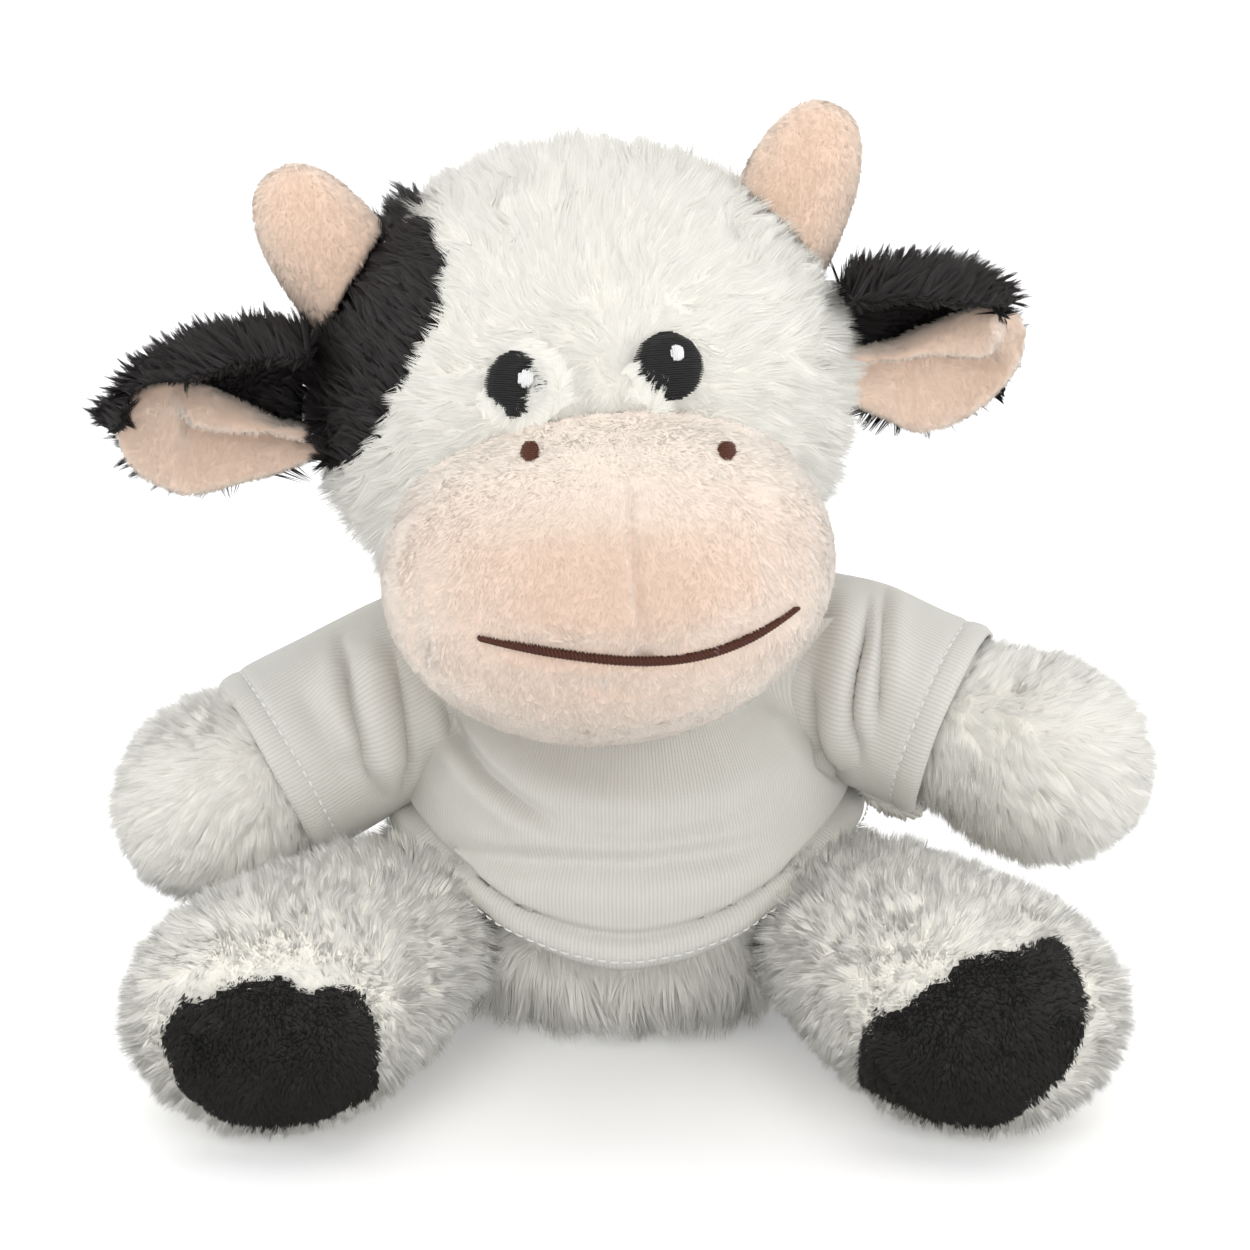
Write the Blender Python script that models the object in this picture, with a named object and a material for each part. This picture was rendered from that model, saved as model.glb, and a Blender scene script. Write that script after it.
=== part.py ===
# A plush cow that sits in a white T-shirt.
# Metres, +Z up. The face looks along -Y. The origin is on the floor, under the middle of the torso.
# Each skin is a shell that is open where it is sewn to its neighbour, and holds its own filling.
# Forms are balls that are stretched, blunted, swelled along their own Z, then grown along their normals.

import math

import bmesh
import bpy
from mathutils import Matrix, Vector

# Cloth and fit
SKIN_WALL = 0.0016
FIT_GAP = 0.0003
SWING_GAP = 0.0008
CUTTER_OVERRUN = 0.012
SEAT_FLAT = 0.0005

# Torso, from the seat to the neck
TORSO_HALF_WIDTH = 0.036
TORSO_HALF_DEPTH = 0.0312
TORSO_HEIGHT = 0.073
TORSO_BLUNTNESS = 3.6
TORSO_SWELL_SHARES = (1.10, 1.10, 1.05, 0.95, 0.79, 0.64, 0.50)
SHOULDER_BALL = 0.0140
SHOULDER_OUT_SHARE = 0.84
SHOULDER_UP_SHARES = {"left": 0.81, "right": 0.83}
HIP_BALL = 0.0150
HIP_OUT_SHARE = 0.86
HIP_FRONT_SHARE = 0.15
TAIL_BALL = 0.0052
TAIL_UP_SHARE = 0.23

# Head, leaning to the left of the photograph and turned a little to its right
NECK_OFFSET = 0.0028
NECK_HEIGHT = 0.0645
NECK_TO_CENTRE = 0.0440
HEAD_LEAN = math.radians(-6.0)
HEAD_TURN = math.radians(6.5)
HEAD_HALF_WIDTH = 0.0465
HEAD_HALF_HEIGHT = 0.0425
NECK_HOLE = 0.0130

# Dark patch of fur round the left ear, seen from the front, in shares of the head's half sizes
PATCH_OUTLINE_SHARES = (
    (-0.46, 0.84), (-0.75, 0.86), (-1.30, 0.86), (-1.30, -0.19), (-1.02, -0.19),
    (-0.93, -0.14), (-0.85, 0.00), (-0.77, 0.16), (-0.66, 0.33), (-0.54, 0.52), (-0.48, 0.68),
)

# Muzzle
MUZZLE_HALF_WIDTH = 0.0370
MUZZLE_HALF_HEIGHT = 0.0280
MUZZLE_HALF_DEPTH = 0.0340
MUZZLE_FORWARD = 0.0380
MUZZLE_DROP = 0.0220
MUZZLE_ASIDE = 0.0020

# Stitched face
EYE_RADIUS = 0.0060
EYE_DOME = 0.0013
EYE_TURN = {"left": math.radians(-17.6), "right": math.radians(14.6)}
EYE_LIFT = math.radians(15.7)
GLINT_HALF_WIDTH = 0.0017
GLINT_HALF_HEIGHT = 0.0020
GLINT_DOME = 0.0021
GLINT_SIDE_SHARES = {"left": 0.30, "right": 0.12}
GLINT_UP_SHARES = {"left": 0.12, "right": 0.28}
NOSTRIL_RADIUS = 0.0017
NOSTRIL_DOME = 0.0011
NOSTRIL_TURN = {"left": math.radians(-41.1), "right": math.radians(56.2)}
NOSTRIL_LIFT = {"left": math.radians(59.5), "right": math.radians(46.5)}
MOUTH_THREAD = 0.0009
MOUTH_REACH = math.radians(43.0)
MOUTH_ASIDE = math.radians(4.0)
MOUTH_LIFT = math.radians(-11.5)
MOUTH_CURL = math.radians(7.0)
MOUTH_POINTS = 27

# Horns
HORN_RADIUS = 0.0100
HORN_HALF_DEPTH = 0.0080
HORN_LENGTH = 0.0212
HORN_BLUNTNESS = 2.7
HORN_SWELL_SHARES = (1.0, 1.0, 1.0, 0.97, 0.88)
HORN_LIFT = math.radians(36.0)
HORN_LEAN = math.radians(29.0)

# Ears, each a cupped leaf of fur lined with velboa
EAR_REACH = {"left": 0.0795, "right": 0.0770}
EAR_ROOT_SHARE = 0.86
EAR_ROOT_GAP = 0.0008
EAR_RADIUS = 0.0143
EAR_SWELL_SHARES = (0.62, 0.84, 0.98, 1.0, 0.95, 0.78, 0.40)
EAR_CURL_FROM = math.radians(-72.0)
EAR_CURL_STEP = math.radians(21.5)
EAR_BACK_STEPS = 8
EAR_LINING_STEPS = 4
EAR_BACK_WALL = 0.0026
EAR_LINING_WALL = 0.0012
LINING_LENGTH_SHARE = 0.97
EAR_RISE = {"left": 0.0062, "right": 0.0070}
EAR_DROOP = {"left": math.radians(5.0), "right": math.radians(9.0)}
EAR_SWEEP = math.radians(8.0)
EAR_FACING = math.radians(20.0)

# Arms
ARM_LENGTH = 0.0635
ARM_RADIUS = 0.0180
ARM_BLUNTNESS = 2.4
ARM_SWELL_SHARES = (0.70, 0.70, 0.70, 0.73, 0.84, 1.0, 1.03, 0.96)
ARM_DROOP = {"left": math.radians(26.0), "right": math.radians(18.5)}
ARM_FORWARD = math.radians(17.0)

# Legs
LEG_LENGTH = 0.0825
LEG_HALF_WIDTH = 0.0240
LEG_HALF_HEIGHT = 0.0190
LEG_BLUNTNESS = 3.2
LEG_SWELL_SHARES = (0.72, 0.76, 0.84, 0.93, 1.0, 1.03, 1.03)
LEG_SPLAY = {"left": math.radians(25.0), "right": math.radians(25.0)}
SOLE_HALF_WIDTH = 0.0200
SOLE_HALF_HEIGHT = 0.0140
SOLE_DEPTH = 0.0240
SOLE_INWARD = 0.0050
SOLE_DOWN = 0.0022
SOLE_ROLL = {"left": math.radians(4.0), "right": math.radians(26.0)}

# T-shirt
SHIRT_WALL = 0.0011
SHIRT_HALF_WIDTH = 0.0415
SHIRT_HALF_DEPTH = 0.0390
SHIRT_HEIGHT = 0.0740
SHIRT_BOTTOM = 0.0000
SHIRT_BLUNTNESS = 2.9
SHIRT_SWELL_SHARES = (1.12, 1.12, 1.02, 1.00, 0.91, 0.73, 0.50)
NECKLINE_FRONT = 0.0570
NECKLINE_BACK = 0.0680
HEM_FRONT = 0.0170
HEM_SIDE = 0.0332
HEM_BACK = 0.0245
HEM_DIP_HALF_WIDTH = 0.0420
HEM_BEND = 1.75
HEM_BACK_HALF_WIDTH = 0.0380
HEM_POINTS = 21
SHIRT_CLEARANCE = 0.0012
ARMHOLE = 0.0178
SLEEVE_RADIUS = 0.0170
SLEEVE_LENGTH = {"left": 0.0365, "right": 0.0290}
SLEEVE_WALL = 0.0011
SLEEVE_SWELL_SHARES = (0.90, 0.96, 1.0, 1.0, 0.99, 0.99)
TAB_WIDTH = 0.0044
TAB_LENGTH = 0.0066
TAB_THICKNESS = 0.0008
TAB_TURN = math.radians(76.0)

# Tail
TAIL_LENGTH = 0.0300
TAIL_RADIUS = 0.0040
TAIL_DROOP = math.radians(16.0)
TUFT_LENGTH = 0.0200
TUFT_RADIUS = 0.0058
TUFT_OVERLAP = 0.0030

# Colours, each with its roughness
WHITE_FUR = ((0.86, 0.85, 0.82, 1.0), 0.95)
BLACK_FUR = ((0.012, 0.012, 0.014, 1.0), 0.75)
PINK_VELBOA = ((0.86, 0.62, 0.50, 1.0), 0.85)
FILLING = ((0.92, 0.92, 0.90, 1.0), 1.0)
BLACK_THREAD = ((0.010, 0.010, 0.012, 1.0), 0.45)
WHITE_THREAD = ((0.90, 0.90, 0.90, 1.0), 0.45)
BROWN_THREAD = ((0.075, 0.020, 0.010, 1.0), 0.50)
SHIRT_CLOTH = ((0.80, 0.81, 0.83, 1.0), 0.90)
TAB_SATIN = ((0.90, 0.90, 0.91, 1.0), 0.35)

# How far each joint swings either way of the pose in the photograph
HEAD_SWINGS = (math.radians(9.0), math.radians(18.0))
EAR_SWINGS = (math.radians(-10.0), math.radians(10.0))
ARM_SWINGS = (math.radians(-3.0), math.radians(12.0), math.radians(24.0))
LEG_SWINGS = (math.radians(-4.0), math.radians(3.5), math.radians(7.0))
TAIL_SWINGS = (math.radians(-18.0), math.radians(18.0))

SIDES = {"left": -1, "right": 1}
BACK = Vector((0, 1, 0))
UP = Vector((0, 0, 1))
ROUND = 2.0
EVEN_SHARES = (1.0, 1.0)


for startup_object in list(bpy.data.objects):
    bpy.data.objects.remove(startup_object)
parts = bpy.data.collections.new("plush_cow")
cutters = bpy.data.collections.new("cutters")
bpy.context.scene.collection.children.link(parts)
bpy.context.scene.collection.children.link(cutters)
cutters.hide_render = True


# Shapes

def swell_at(shares, along):
    """The width share at a place from -1, the root, to 1, the tip, on a curve through even steps."""
    last = len(shares) - 1
    place = (along + 1) / 2 * last
    before = max(0, min(int(place), last - 1))
    step = place - before
    a, b, c, d = (shares[max(0, min(last, before + i))] for i in (-1, 0, 1, 2))
    bend = a - 2.5 * b + 2 * c - d / 2
    return b + step * (c - a) / 2 + step ** 2 * bend + step ** 3 * (1.5 * (b - c) + (d - a) / 2)


def width_at(blunt, shares, along):
    """The width share of a rounded form at a place along its own Z."""
    return max(0.0, 1 - abs(along) ** blunt) ** (1 / blunt) * swell_at(shares, along)


def rounded(radii, grow=0.0, swell_shares=EVEN_SHARES, blunt=ROUND, sides=24, rings=14):
    """A ball stretched to radii, blunted, swelled along its own Z and grown along its normals."""
    shape = bmesh.new()
    bmesh.ops.create_uvsphere(shape, u_segments=sides, v_segments=rings, radius=1)
    for corner in shape.verts:
        x, y, z = corner.co
        across = math.hypot(x, y)
        along = math.copysign(abs(z) ** (2 / blunt), z)
        at_pole = abs(z) > math.cos(math.pi / rings / 2)
        width = 0 if at_pole else across ** (2 / blunt - 1) * swell_at(swell_shares, along)
        corner.co = (x * width * radii[0], y * width * radii[1], along * radii[2])
    shape.normal_update()
    for corner in shape.verts:
        corner.co += corner.normal * grow
    return shape


def moved(shape, *places):
    """The shape moved by each place in turn, the last one first."""
    for place in reversed(places):
        shape.transform(place)
    return shape


def mirrored(shape, side):
    """The shape as it is for the right side, or mirrored for the left one."""
    if side == "left":
        shape.transform(Matrix.Diagonal((-1, 1, 1, 1)))
        bmesh.ops.reverse_faces(shape, faces=shape.faces)
    return shape


def prism(outline, near, far):
    """The outline, given as places in X and Z, drawn out along Y."""
    shape = bmesh.new()
    face = shape.faces.new([shape.verts.new((x, near, z)) for x, z in outline])
    drawn = bmesh.ops.extrude_face_region(shape, geom=[face])["geom"]
    corners = [part for part in drawn if isinstance(part, bmesh.types.BMVert)]
    bmesh.ops.translate(shape, verts=corners, vec=(0, far - near, 0))
    bmesh.ops.recalc_face_normals(shape, faces=shape.faces)
    return shape


def block(size):
    shape = bmesh.new()
    bmesh.ops.create_cube(shape, size=1)
    shape.transform(Matrix.Diagonal((*size, 1)))
    return shape


def drum(radius, length, sides=28):
    shape = bmesh.new()
    bmesh.ops.create_cone(
        shape, cap_ends=True, segments=sides, radius1=radius, radius2=radius, depth=length
    )
    return shape


def turned_about(centre, axis, angle):
    """A turn by an angle about an axis through a centre."""
    return Matrix.Translation(centre) @ Matrix.Rotation(angle, 4, axis) @ Matrix.Translation(-centre)


# Objects

def material_of(name, finish):
    colour, roughness = finish
    material = bpy.data.materials.new(name)
    material.use_nodes = True
    shader = material.node_tree.nodes["Principled BSDF"]
    shader.inputs["Base Color"].default_value = colour
    shader.inputs["Roughness"].default_value = roughness
    shader.inputs["Metallic"].default_value = 0.0
    material.diffuse_color = colour
    return material


def joint_empty(name, place):
    empty = bpy.data.objects.new(name, None)
    empty.empty_display_size = CUTTER_OVERRUN
    empty.matrix_world = place
    parts.objects.link(empty)
    return empty


def hung_on(thing, empty, place):
    """Stands the thing at its place, as a child of the empty on its joint."""
    thing.matrix_world = place
    if empty is not None:
        thing.parent = empty
        thing.matrix_parent_inverse = empty.matrix_world.inverted()


def solid(name, shape, finish, place=Matrix(), empty=None):
    mesh = bpy.data.meshes.new(name)
    shape.to_mesh(mesh)
    shape.free()
    mesh.shade_smooth()
    mesh.materials.append(material_of(name, finish))
    thing = bpy.data.objects.new(name, mesh)
    parts.objects.link(thing)
    hung_on(thing, empty, place)
    return thing


def cutter(name, shape, place=Matrix()):
    mesh = bpy.data.meshes.new(name)
    shape.to_mesh(mesh)
    shape.free()
    tool = bpy.data.objects.new(name, mesh)
    tool.matrix_world = place
    tool.hide_render = True
    tool.display_type = "WIRE"
    cutters.objects.link(tool)
    return tool


def boolean(thing, operation, tools):
    for tool in tools:
        step = thing.modifiers.new(tool.name, "BOOLEAN")
        step.operation = operation
        step.solver = "EXACT"
        step.object = tool
    return thing


def cut(thing, *tools):
    return boolean(thing, "DIFFERENCE", tools)


def joined(thing, *tools):
    return boolean(thing, "UNION", tools)


def kept_inside(thing, *tools):
    return boolean(thing, "INTERSECT", tools)


# Places of the joints, from the sizes of the torso

def shoulder(side):
    return Vector((
        SIDES[side] * TORSO_HALF_WIDTH * SHOULDER_OUT_SHARE,
        0,
        TORSO_HEIGHT * SHOULDER_UP_SHARES[side],
    ))


def hip(side):
    return Vector((
        SIDES[side] * TORSO_HALF_WIDTH * HIP_OUT_SHARE,
        -TORSO_HALF_DEPTH * HIP_FRONT_SHARE,
        LEG_HALF_HEIGHT - SEAT_FLAT,
    ))


def tail_root():
    width = width_at(TORSO_BLUNTNESS, TORSO_SWELL_SHARES, 2 * TAIL_UP_SHARE - 1)
    return Vector((0, TORSO_HALF_DEPTH * width, TORSO_HEIGHT * TAIL_UP_SHARE))


NECK_PLACE = (
    Matrix.Translation((-NECK_OFFSET, 0, NECK_HEIGHT))
    @ Matrix.Rotation(HEAD_TURN, 4, "Z")
    @ Matrix.Rotation(HEAD_LEAN, 4, "Y")
)
FROM_NECK = Matrix.Translation((0, 0, NECK_TO_CENTRE))
HEAD_PLACE = NECK_PLACE @ FROM_NECK
MUZZLE_PLACE = Matrix.Translation((-MUZZLE_ASIDE, -MUZZLE_FORWARD, -MUZZLE_DROP))


# Forms that more than one piece shares, as a shape and its place

def pear(grow, sides, rings):
    half = TORSO_HEIGHT / 2
    shape = rounded(
        (TORSO_HALF_WIDTH, TORSO_HALF_DEPTH, half),
        grow, TORSO_SWELL_SHARES, TORSO_BLUNTNESS, sides, rings,
    )
    return moved(shape, Matrix.Translation((0, 0, half - SEAT_FLAT)))


def lobe(centre, radius, grow, sides=12, rings=8):
    radii = (radius + grow, radius + grow, radius + grow)
    return moved(rounded(radii, sides=sides, rings=rings), Matrix.Translation(centre))


def torso_form(name, grow, sides, rings):
    """The pear of the torso with the lobes that the limbs and the tail are sewn to."""
    form = cutter(name, pear(grow, sides, rings))
    for side in SIDES:
        joined(form, cutter(f"{name}_{side}_shoulder", lobe(shoulder(side), SHOULDER_BALL, grow)))
        joined(form, cutter(f"{name}_{side}_hip", lobe(hip(side), HIP_BALL, grow)))
    return joined(form, cutter(f"{name}_tail", lobe(tail_root(), TAIL_BALL, grow, 8, 6)))


def head_form(grow, sides=28, rings=16):
    radii = (HEAD_HALF_WIDTH, HEAD_HALF_WIDTH, HEAD_HALF_HEIGHT)
    return rounded(radii, grow, sides=sides, rings=rings)


def muzzle_form(grow, sides=24, rings=16):
    shape = rounded(
        (MUZZLE_HALF_HEIGHT, MUZZLE_HALF_DEPTH, MUZZLE_HALF_WIDTH),
        grow, sides=sides, rings=rings,
    )
    return moved(shape, MUZZLE_PLACE, Matrix.Rotation(math.radians(90), 4, "Y"))


def arm_form(side, grow, sides=18, rings=12):
    """An arm about its shoulder, its own Z run out along the arm."""
    half = ARM_LENGTH / 2
    shape = rounded((ARM_RADIUS, ARM_RADIUS, half), grow, ARM_SWELL_SHARES, ARM_BLUNTNESS, sides, rings)
    return mirrored(moved(shape, arm_turn(side), Matrix.Translation((0, 0, half))), side)


def arm_turn(side):
    return (
        Matrix.Rotation(-ARM_FORWARD, 4, "Z")
        @ Matrix.Rotation(math.radians(90) + ARM_DROOP[side], 4, "Y")
    )


def leg_form(side, grow, sides=20, rings=12):
    """A leg about its hip, its own Z run out along the leg."""
    half = LEG_LENGTH / 2
    shape = rounded(
        (LEG_HALF_WIDTH, LEG_HALF_HEIGHT, half), grow, LEG_SWELL_SHARES, LEG_BLUNTNESS, sides, rings
    )
    return mirrored(moved(shape, leg_turn(side), Matrix.Translation((0, 0, half))), side)


def leg_turn(side):
    return Matrix.Rotation(LEG_SPLAY[side], 4, "Z") @ Matrix.Rotation(math.radians(90), 4, "X")


def horn_form(side, grow, sides=18, rings=12):
    shape = rounded(
        (HORN_RADIUS, HORN_HALF_DEPTH, HORN_LENGTH),
        grow, HORN_SWELL_SHARES, HORN_BLUNTNESS, sides, rings,
    )
    root = on_head(math.radians(90), HORN_LIFT).translation
    return mirrored(
        moved(shape, Matrix.Translation(root), Matrix.Rotation(HORN_LEAN, 4, "Y")), side
    )


def facing(point, normal):
    """A place at the point, its own Z along the normal and its own Y as near to up as it can be."""
    out = normal.normalized()
    across = Vector((0, 0, 1)).cross(out).normalized()
    turn = Matrix((across, out.cross(across), out)).transposed().to_4x4()
    return Matrix.Translation(point) @ turn


def direction(turn, lift):
    """From straight ahead, turned towards +X and lifted."""
    return Vector((math.cos(lift) * math.sin(turn), -math.cos(lift) * math.cos(turn), math.sin(lift)))


def on_ball(radii, turn, lift):
    """A place on a stretched ball, facing out of it."""
    unit = direction(turn, lift)
    point = Vector(radius * share for radius, share in zip(radii, unit))
    return facing(point, Vector(share / radius for radius, share in zip(radii, unit)))


def on_head(turn, lift):
    """A place on the head, in the head's own frame."""
    return on_ball((HEAD_HALF_WIDTH, HEAD_HALF_WIDTH, HEAD_HALF_HEIGHT), turn, lift)


def on_muzzle(turn, lift):
    """A place on the muzzle, in the head's own frame."""
    radii = (MUZZLE_HALF_WIDTH, MUZZLE_HALF_DEPTH, MUZZLE_HALF_HEIGHT)
    return MUZZLE_PLACE @ on_ball(radii, turn, lift)


def shirt_form(grow, sides=28, rings=13):
    half = SHIRT_HEIGHT / 2
    shape = rounded(
        (SHIRT_HALF_WIDTH, SHIRT_HALF_DEPTH, half),
        grow, SHIRT_SWELL_SHARES, SHIRT_BLUNTNESS, sides, rings,
    )
    return moved(shape, Matrix.Translation((0, 0, SHIRT_BOTTOM + half)))


def on_shirt(turn, height):
    """A place on the shirt's outside, by its turn from the front and its height."""
    half = SHIRT_HEIGHT / 2
    share = width_at(SHIRT_BLUNTNESS, SHIRT_SWELL_SHARES, (height - SHIRT_BOTTOM - half) / half)
    across = SHIRT_HALF_WIDTH * share * math.sin(turn)
    return Vector((across, -SHIRT_HALF_DEPTH * share * math.cos(turn), height))


# Cutters that more than one piece shares

head_clearance = cutter("head_clearance", head_form(FIT_GAP), HEAD_PLACE)
head_hollow = cutter("head_hollow", head_form(-SKIN_WALL, 20, 12), HEAD_PLACE)
muzzle_hollow = cutter("muzzle_hollow", muzzle_form(-SKIN_WALL, 18, 12), HEAD_PLACE)
muzzle_clearance = cutter("muzzle_clearance", muzzle_form(FIT_GAP), HEAD_PLACE)
torso_clearance = torso_form("torso_clearance", FIT_GAP, 22, 12)
torso_hollow = torso_form("torso_hollow", -SKIN_WALL, 12, 9)
floor_block = cutter(
    "floor_block",
    moved(
        block((2 * (TORSO_HALF_WIDTH + LEG_LENGTH) + CUTTER_OVERRUN,) * 2 + (CUTTER_OVERRUN,)),
        Matrix.Translation((0, 0, -CUTTER_OVERRUN / 2)),
    ),
)
muzzle_swings = [
    cutter(f"muzzle_swing_{i}", muzzle_form(FIT_GAP), NECK_PLACE @ Matrix.Rotation(angle, 4, "Z") @ FROM_NECK)
    for i, angle in enumerate(HEAD_SWINGS)
]
patch_outline = [(x * HEAD_HALF_WIDTH, z * HEAD_HALF_HEIGHT) for x, z in PATCH_OUTLINE_SHARES]
PATCH_REACH = HEAD_HALF_WIDTH + CUTTER_OVERRUN


def swing_room(name, centre, ball, axis, angles):
    """The torso, and the ball on it, as a limb meets them at each of these angles of the limb's joint."""
    room = [cutter(f"{name}_ball", lobe(centre, ball, SWING_GAP, 20, 12))]
    for i, angle in enumerate(angles):
        turn = turned_about(centre, axis, -angle)
        room.append(cutter(f"{name}_{i}", pear(SWING_GAP, 22, 12), turn))
    return room


def grown_outline(outline, gap):
    """The outline with each side moved out by the gap."""
    count = len(outline)
    area = sum(
        outline[i][0] * outline[(i + 1) % count][1] - outline[(i + 1) % count][0] * outline[i][1]
        for i in range(count)
    )
    grown = []
    for i in range(count):
        here = Vector(outline[i])
        before = (here - Vector(outline[i - 1])).normalized()
        after = (Vector(outline[(i + 1) % count]) - here).normalized()
        out = Vector((before.y + after.y, -before.x - after.x)) * math.copysign(1, area)
        grown.append(here + out.normalized() * gap / max(0.5, math.sqrt((1 + before.dot(after)) / 2)))
    return grown


# Torso

def as_node(form, finish):
    """Makes a node of a form that was built up as a cutter."""
    cutters.objects.unlink(form)
    parts.objects.link(form)
    form.hide_render = False
    form.display_type = "TEXTURED"
    form.data.shade_smooth()
    form.data.materials.append(material_of(form.name, finish))
    return form


def build_torso():
    skin = as_node(torso_form("torso_skin", 0, 22, 12), WHITE_FUR)
    cut(skin, torso_hollow, head_clearance, floor_block, *muzzle_swings)
    filling = as_node(torso_form("torso_filling", -SKIN_WALL - FIT_GAP, 12, 9), FILLING)
    cut(filling, head_clearance)


# Head, with everything that is sewn to it

def build_head(neck):
    neck_hole = cutter(
        "neck_hole",
        moved(
            drum(NECK_HOLE, HEAD_HALF_HEIGHT),
            Matrix.Translation((0, 0, -HEAD_HALF_HEIGHT)),
        ),
        HEAD_PLACE,
    )
    patch_edge = cutter(
        "patch_edge", prism(grown_outline(patch_outline, FIT_GAP), -PATCH_REACH, PATCH_REACH), HEAD_PLACE
    )
    patch_area = cutter("patch_area", prism(patch_outline, -PATCH_REACH, PATCH_REACH), HEAD_PLACE)
    skin = solid("head_skin", head_form(0), WHITE_FUR, HEAD_PLACE, neck)
    cut(skin, head_hollow, muzzle_hollow, neck_hole, patch_edge)
    patch = solid("head_patch", head_form(0), BLACK_FUR, HEAD_PLACE, neck)
    cut(patch, head_hollow)
    kept_inside(patch, patch_area)
    muzzle = solid("muzzle_skin", muzzle_form(0), PINK_VELBOA, HEAD_PLACE, neck)
    cut(muzzle, muzzle_hollow, head_clearance)
    inside = -SKIN_WALL - FIT_GAP
    filling = solid("head_filling", head_form(inside, 20, 12), FILLING, HEAD_PLACE, neck)
    joined(filling, cutter("muzzle_filling", muzzle_form(inside, 18, 12), HEAD_PLACE))


def eye_lens(side, grow):
    lens = rounded((EYE_RADIUS, EYE_RADIUS, EYE_DOME), grow, sides=20, rings=8)
    return moved(lens, on_head(EYE_TURN[side], EYE_LIFT))


def build_face(neck):
    for side in SIDES:
        eye = solid(f"{side}_eye", eye_lens(side, 0), BLACK_THREAD, HEAD_PLACE, neck)
        cut(eye, head_clearance)
        beside = Vector((GLINT_SIDE_SHARES[side], GLINT_UP_SHARES[side], 0)) * EYE_RADIUS
        glint_place = on_head(EYE_TURN[side], EYE_LIFT) @ Matrix.Translation(beside)
        glint_shape = rounded((GLINT_HALF_WIDTH, GLINT_HALF_HEIGHT, GLINT_DOME), sides=12, rings=7)
        glint = solid(
            f"{side}_eye_glint", moved(glint_shape, glint_place), WHITE_THREAD, HEAD_PLACE, neck
        )
        cut(glint, cutter(f"{side}_eye_top", eye_lens(side, FIT_GAP), HEAD_PLACE), head_clearance)
        dot = rounded((NOSTRIL_RADIUS, NOSTRIL_RADIUS, NOSTRIL_DOME), sides=12, rings=7)
        place = on_muzzle(NOSTRIL_TURN[side], NOSTRIL_LIFT[side])
        nostril = solid(f"{side}_nostril", moved(dot, place), BROWN_THREAD, HEAD_PLACE, neck)
        cut(nostril, muzzle_clearance)


def build_mouth(neck):
    """A thread laid on the muzzle in a smile, its lower half cut away where it lies on the cloth."""
    line = bpy.data.curves.new("mouth_line", "CURVE")
    line.dimensions = "3D"
    line.bevel_depth = MOUTH_THREAD
    line.bevel_resolution = 2
    line.use_fill_caps = True
    spline = line.splines.new("POLY")
    spline.points.add(MOUTH_POINTS - 1)
    for i, point in enumerate(spline.points):
        reach = 2 * i / (MOUTH_POINTS - 1) - 1
        lift = MOUTH_LIFT + MOUTH_CURL * reach ** 2
        place = on_muzzle(reach * MOUTH_REACH + MOUTH_ASIDE, lift)
        point.co = (*place.translation, 1)
    guide = bpy.data.objects.new("mouth_line", line)
    parts.objects.link(guide)
    graph = bpy.context.evaluated_depsgraph_get()
    mesh = bpy.data.meshes.new_from_object(guide.evaluated_get(graph))
    bpy.data.objects.remove(guide)
    shape = bmesh.new()
    shape.from_mesh(mesh)
    bmesh.ops.remove_doubles(shape, verts=shape.verts, dist=MOUTH_THREAD / 100)
    bmesh.ops.recalc_face_normals(shape, faces=shape.faces)
    cut(solid("mouth_stitch", shape, BROWN_THREAD, HEAD_PLACE, neck), muzzle_clearance)


def build_horns(neck):
    for side in SIDES:
        skin = solid(f"{side}_horn_skin", horn_form(side, 0), PINK_VELBOA, HEAD_PLACE, neck)
        hollow = cutter(f"{side}_horn_hollow", horn_form(side, -SKIN_WALL, 12, 8), HEAD_PLACE)
        cut(skin, hollow, head_clearance)
        shape = horn_form(side, -SKIN_WALL - FIT_GAP, 12, 8)
        filling = solid(f"{side}_horn_filling", shape, FILLING, HEAD_PLACE, neck)
        cut(filling, head_clearance)


def leaf(length, reach_share, steps, near, far):
    """A leaf curled about X by some steps, run to a share of its length, between two distances from its sheet."""
    shape = bmesh.new()
    bmesh.ops.create_grid(shape, x_segments=11, y_segments=steps, size=1)
    for corner in shape.verts:
        along = (corner.co.x + 1) * reach_share - 1
        turn = EAR_CURL_FROM + EAR_CURL_STEP * steps * (corner.co.y + 1) / 2
        radius = EAR_RADIUS * swell_at(EAR_SWELL_SHARES, along)
        corner.co = (length * (along + 1) / 2, radius * math.sin(turn), -radius * math.cos(turn))
    shape.normal_update()
    normals = {corner: corner.normal.copy() for corner in shape.verts}
    for corner in shape.verts:
        corner.co += normals[corner] * near
    sheet = list(shape.faces)
    walled = bmesh.ops.extrude_face_region(shape, geom=sheet, use_keep_orig=True)["geom"]
    for corner in (part for part in walled if isinstance(part, bmesh.types.BMVert)):
        corner.co += corner.normal * (far - near)
    bmesh.ops.recalc_face_normals(shape, faces=shape.faces)
    return shape


def ear_root(side):
    """Where an ear's leaf starts, inside the head, as if it were the right one, in the head's own frame."""
    start = HEAD_HALF_WIDTH * EAR_ROOT_SHARE
    return (
        Matrix.Translation((0, 0, EAR_RISE[side]))
        @ Matrix.Rotation(-EAR_SWEEP, 4, "Z")
        @ Matrix.Rotation(EAR_DROOP[side], 4, "Y")
        @ Matrix.Translation((start, 0, 0))
        @ Matrix.Rotation(math.radians(90) + EAR_FACING, 4, "X")
    )


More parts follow.
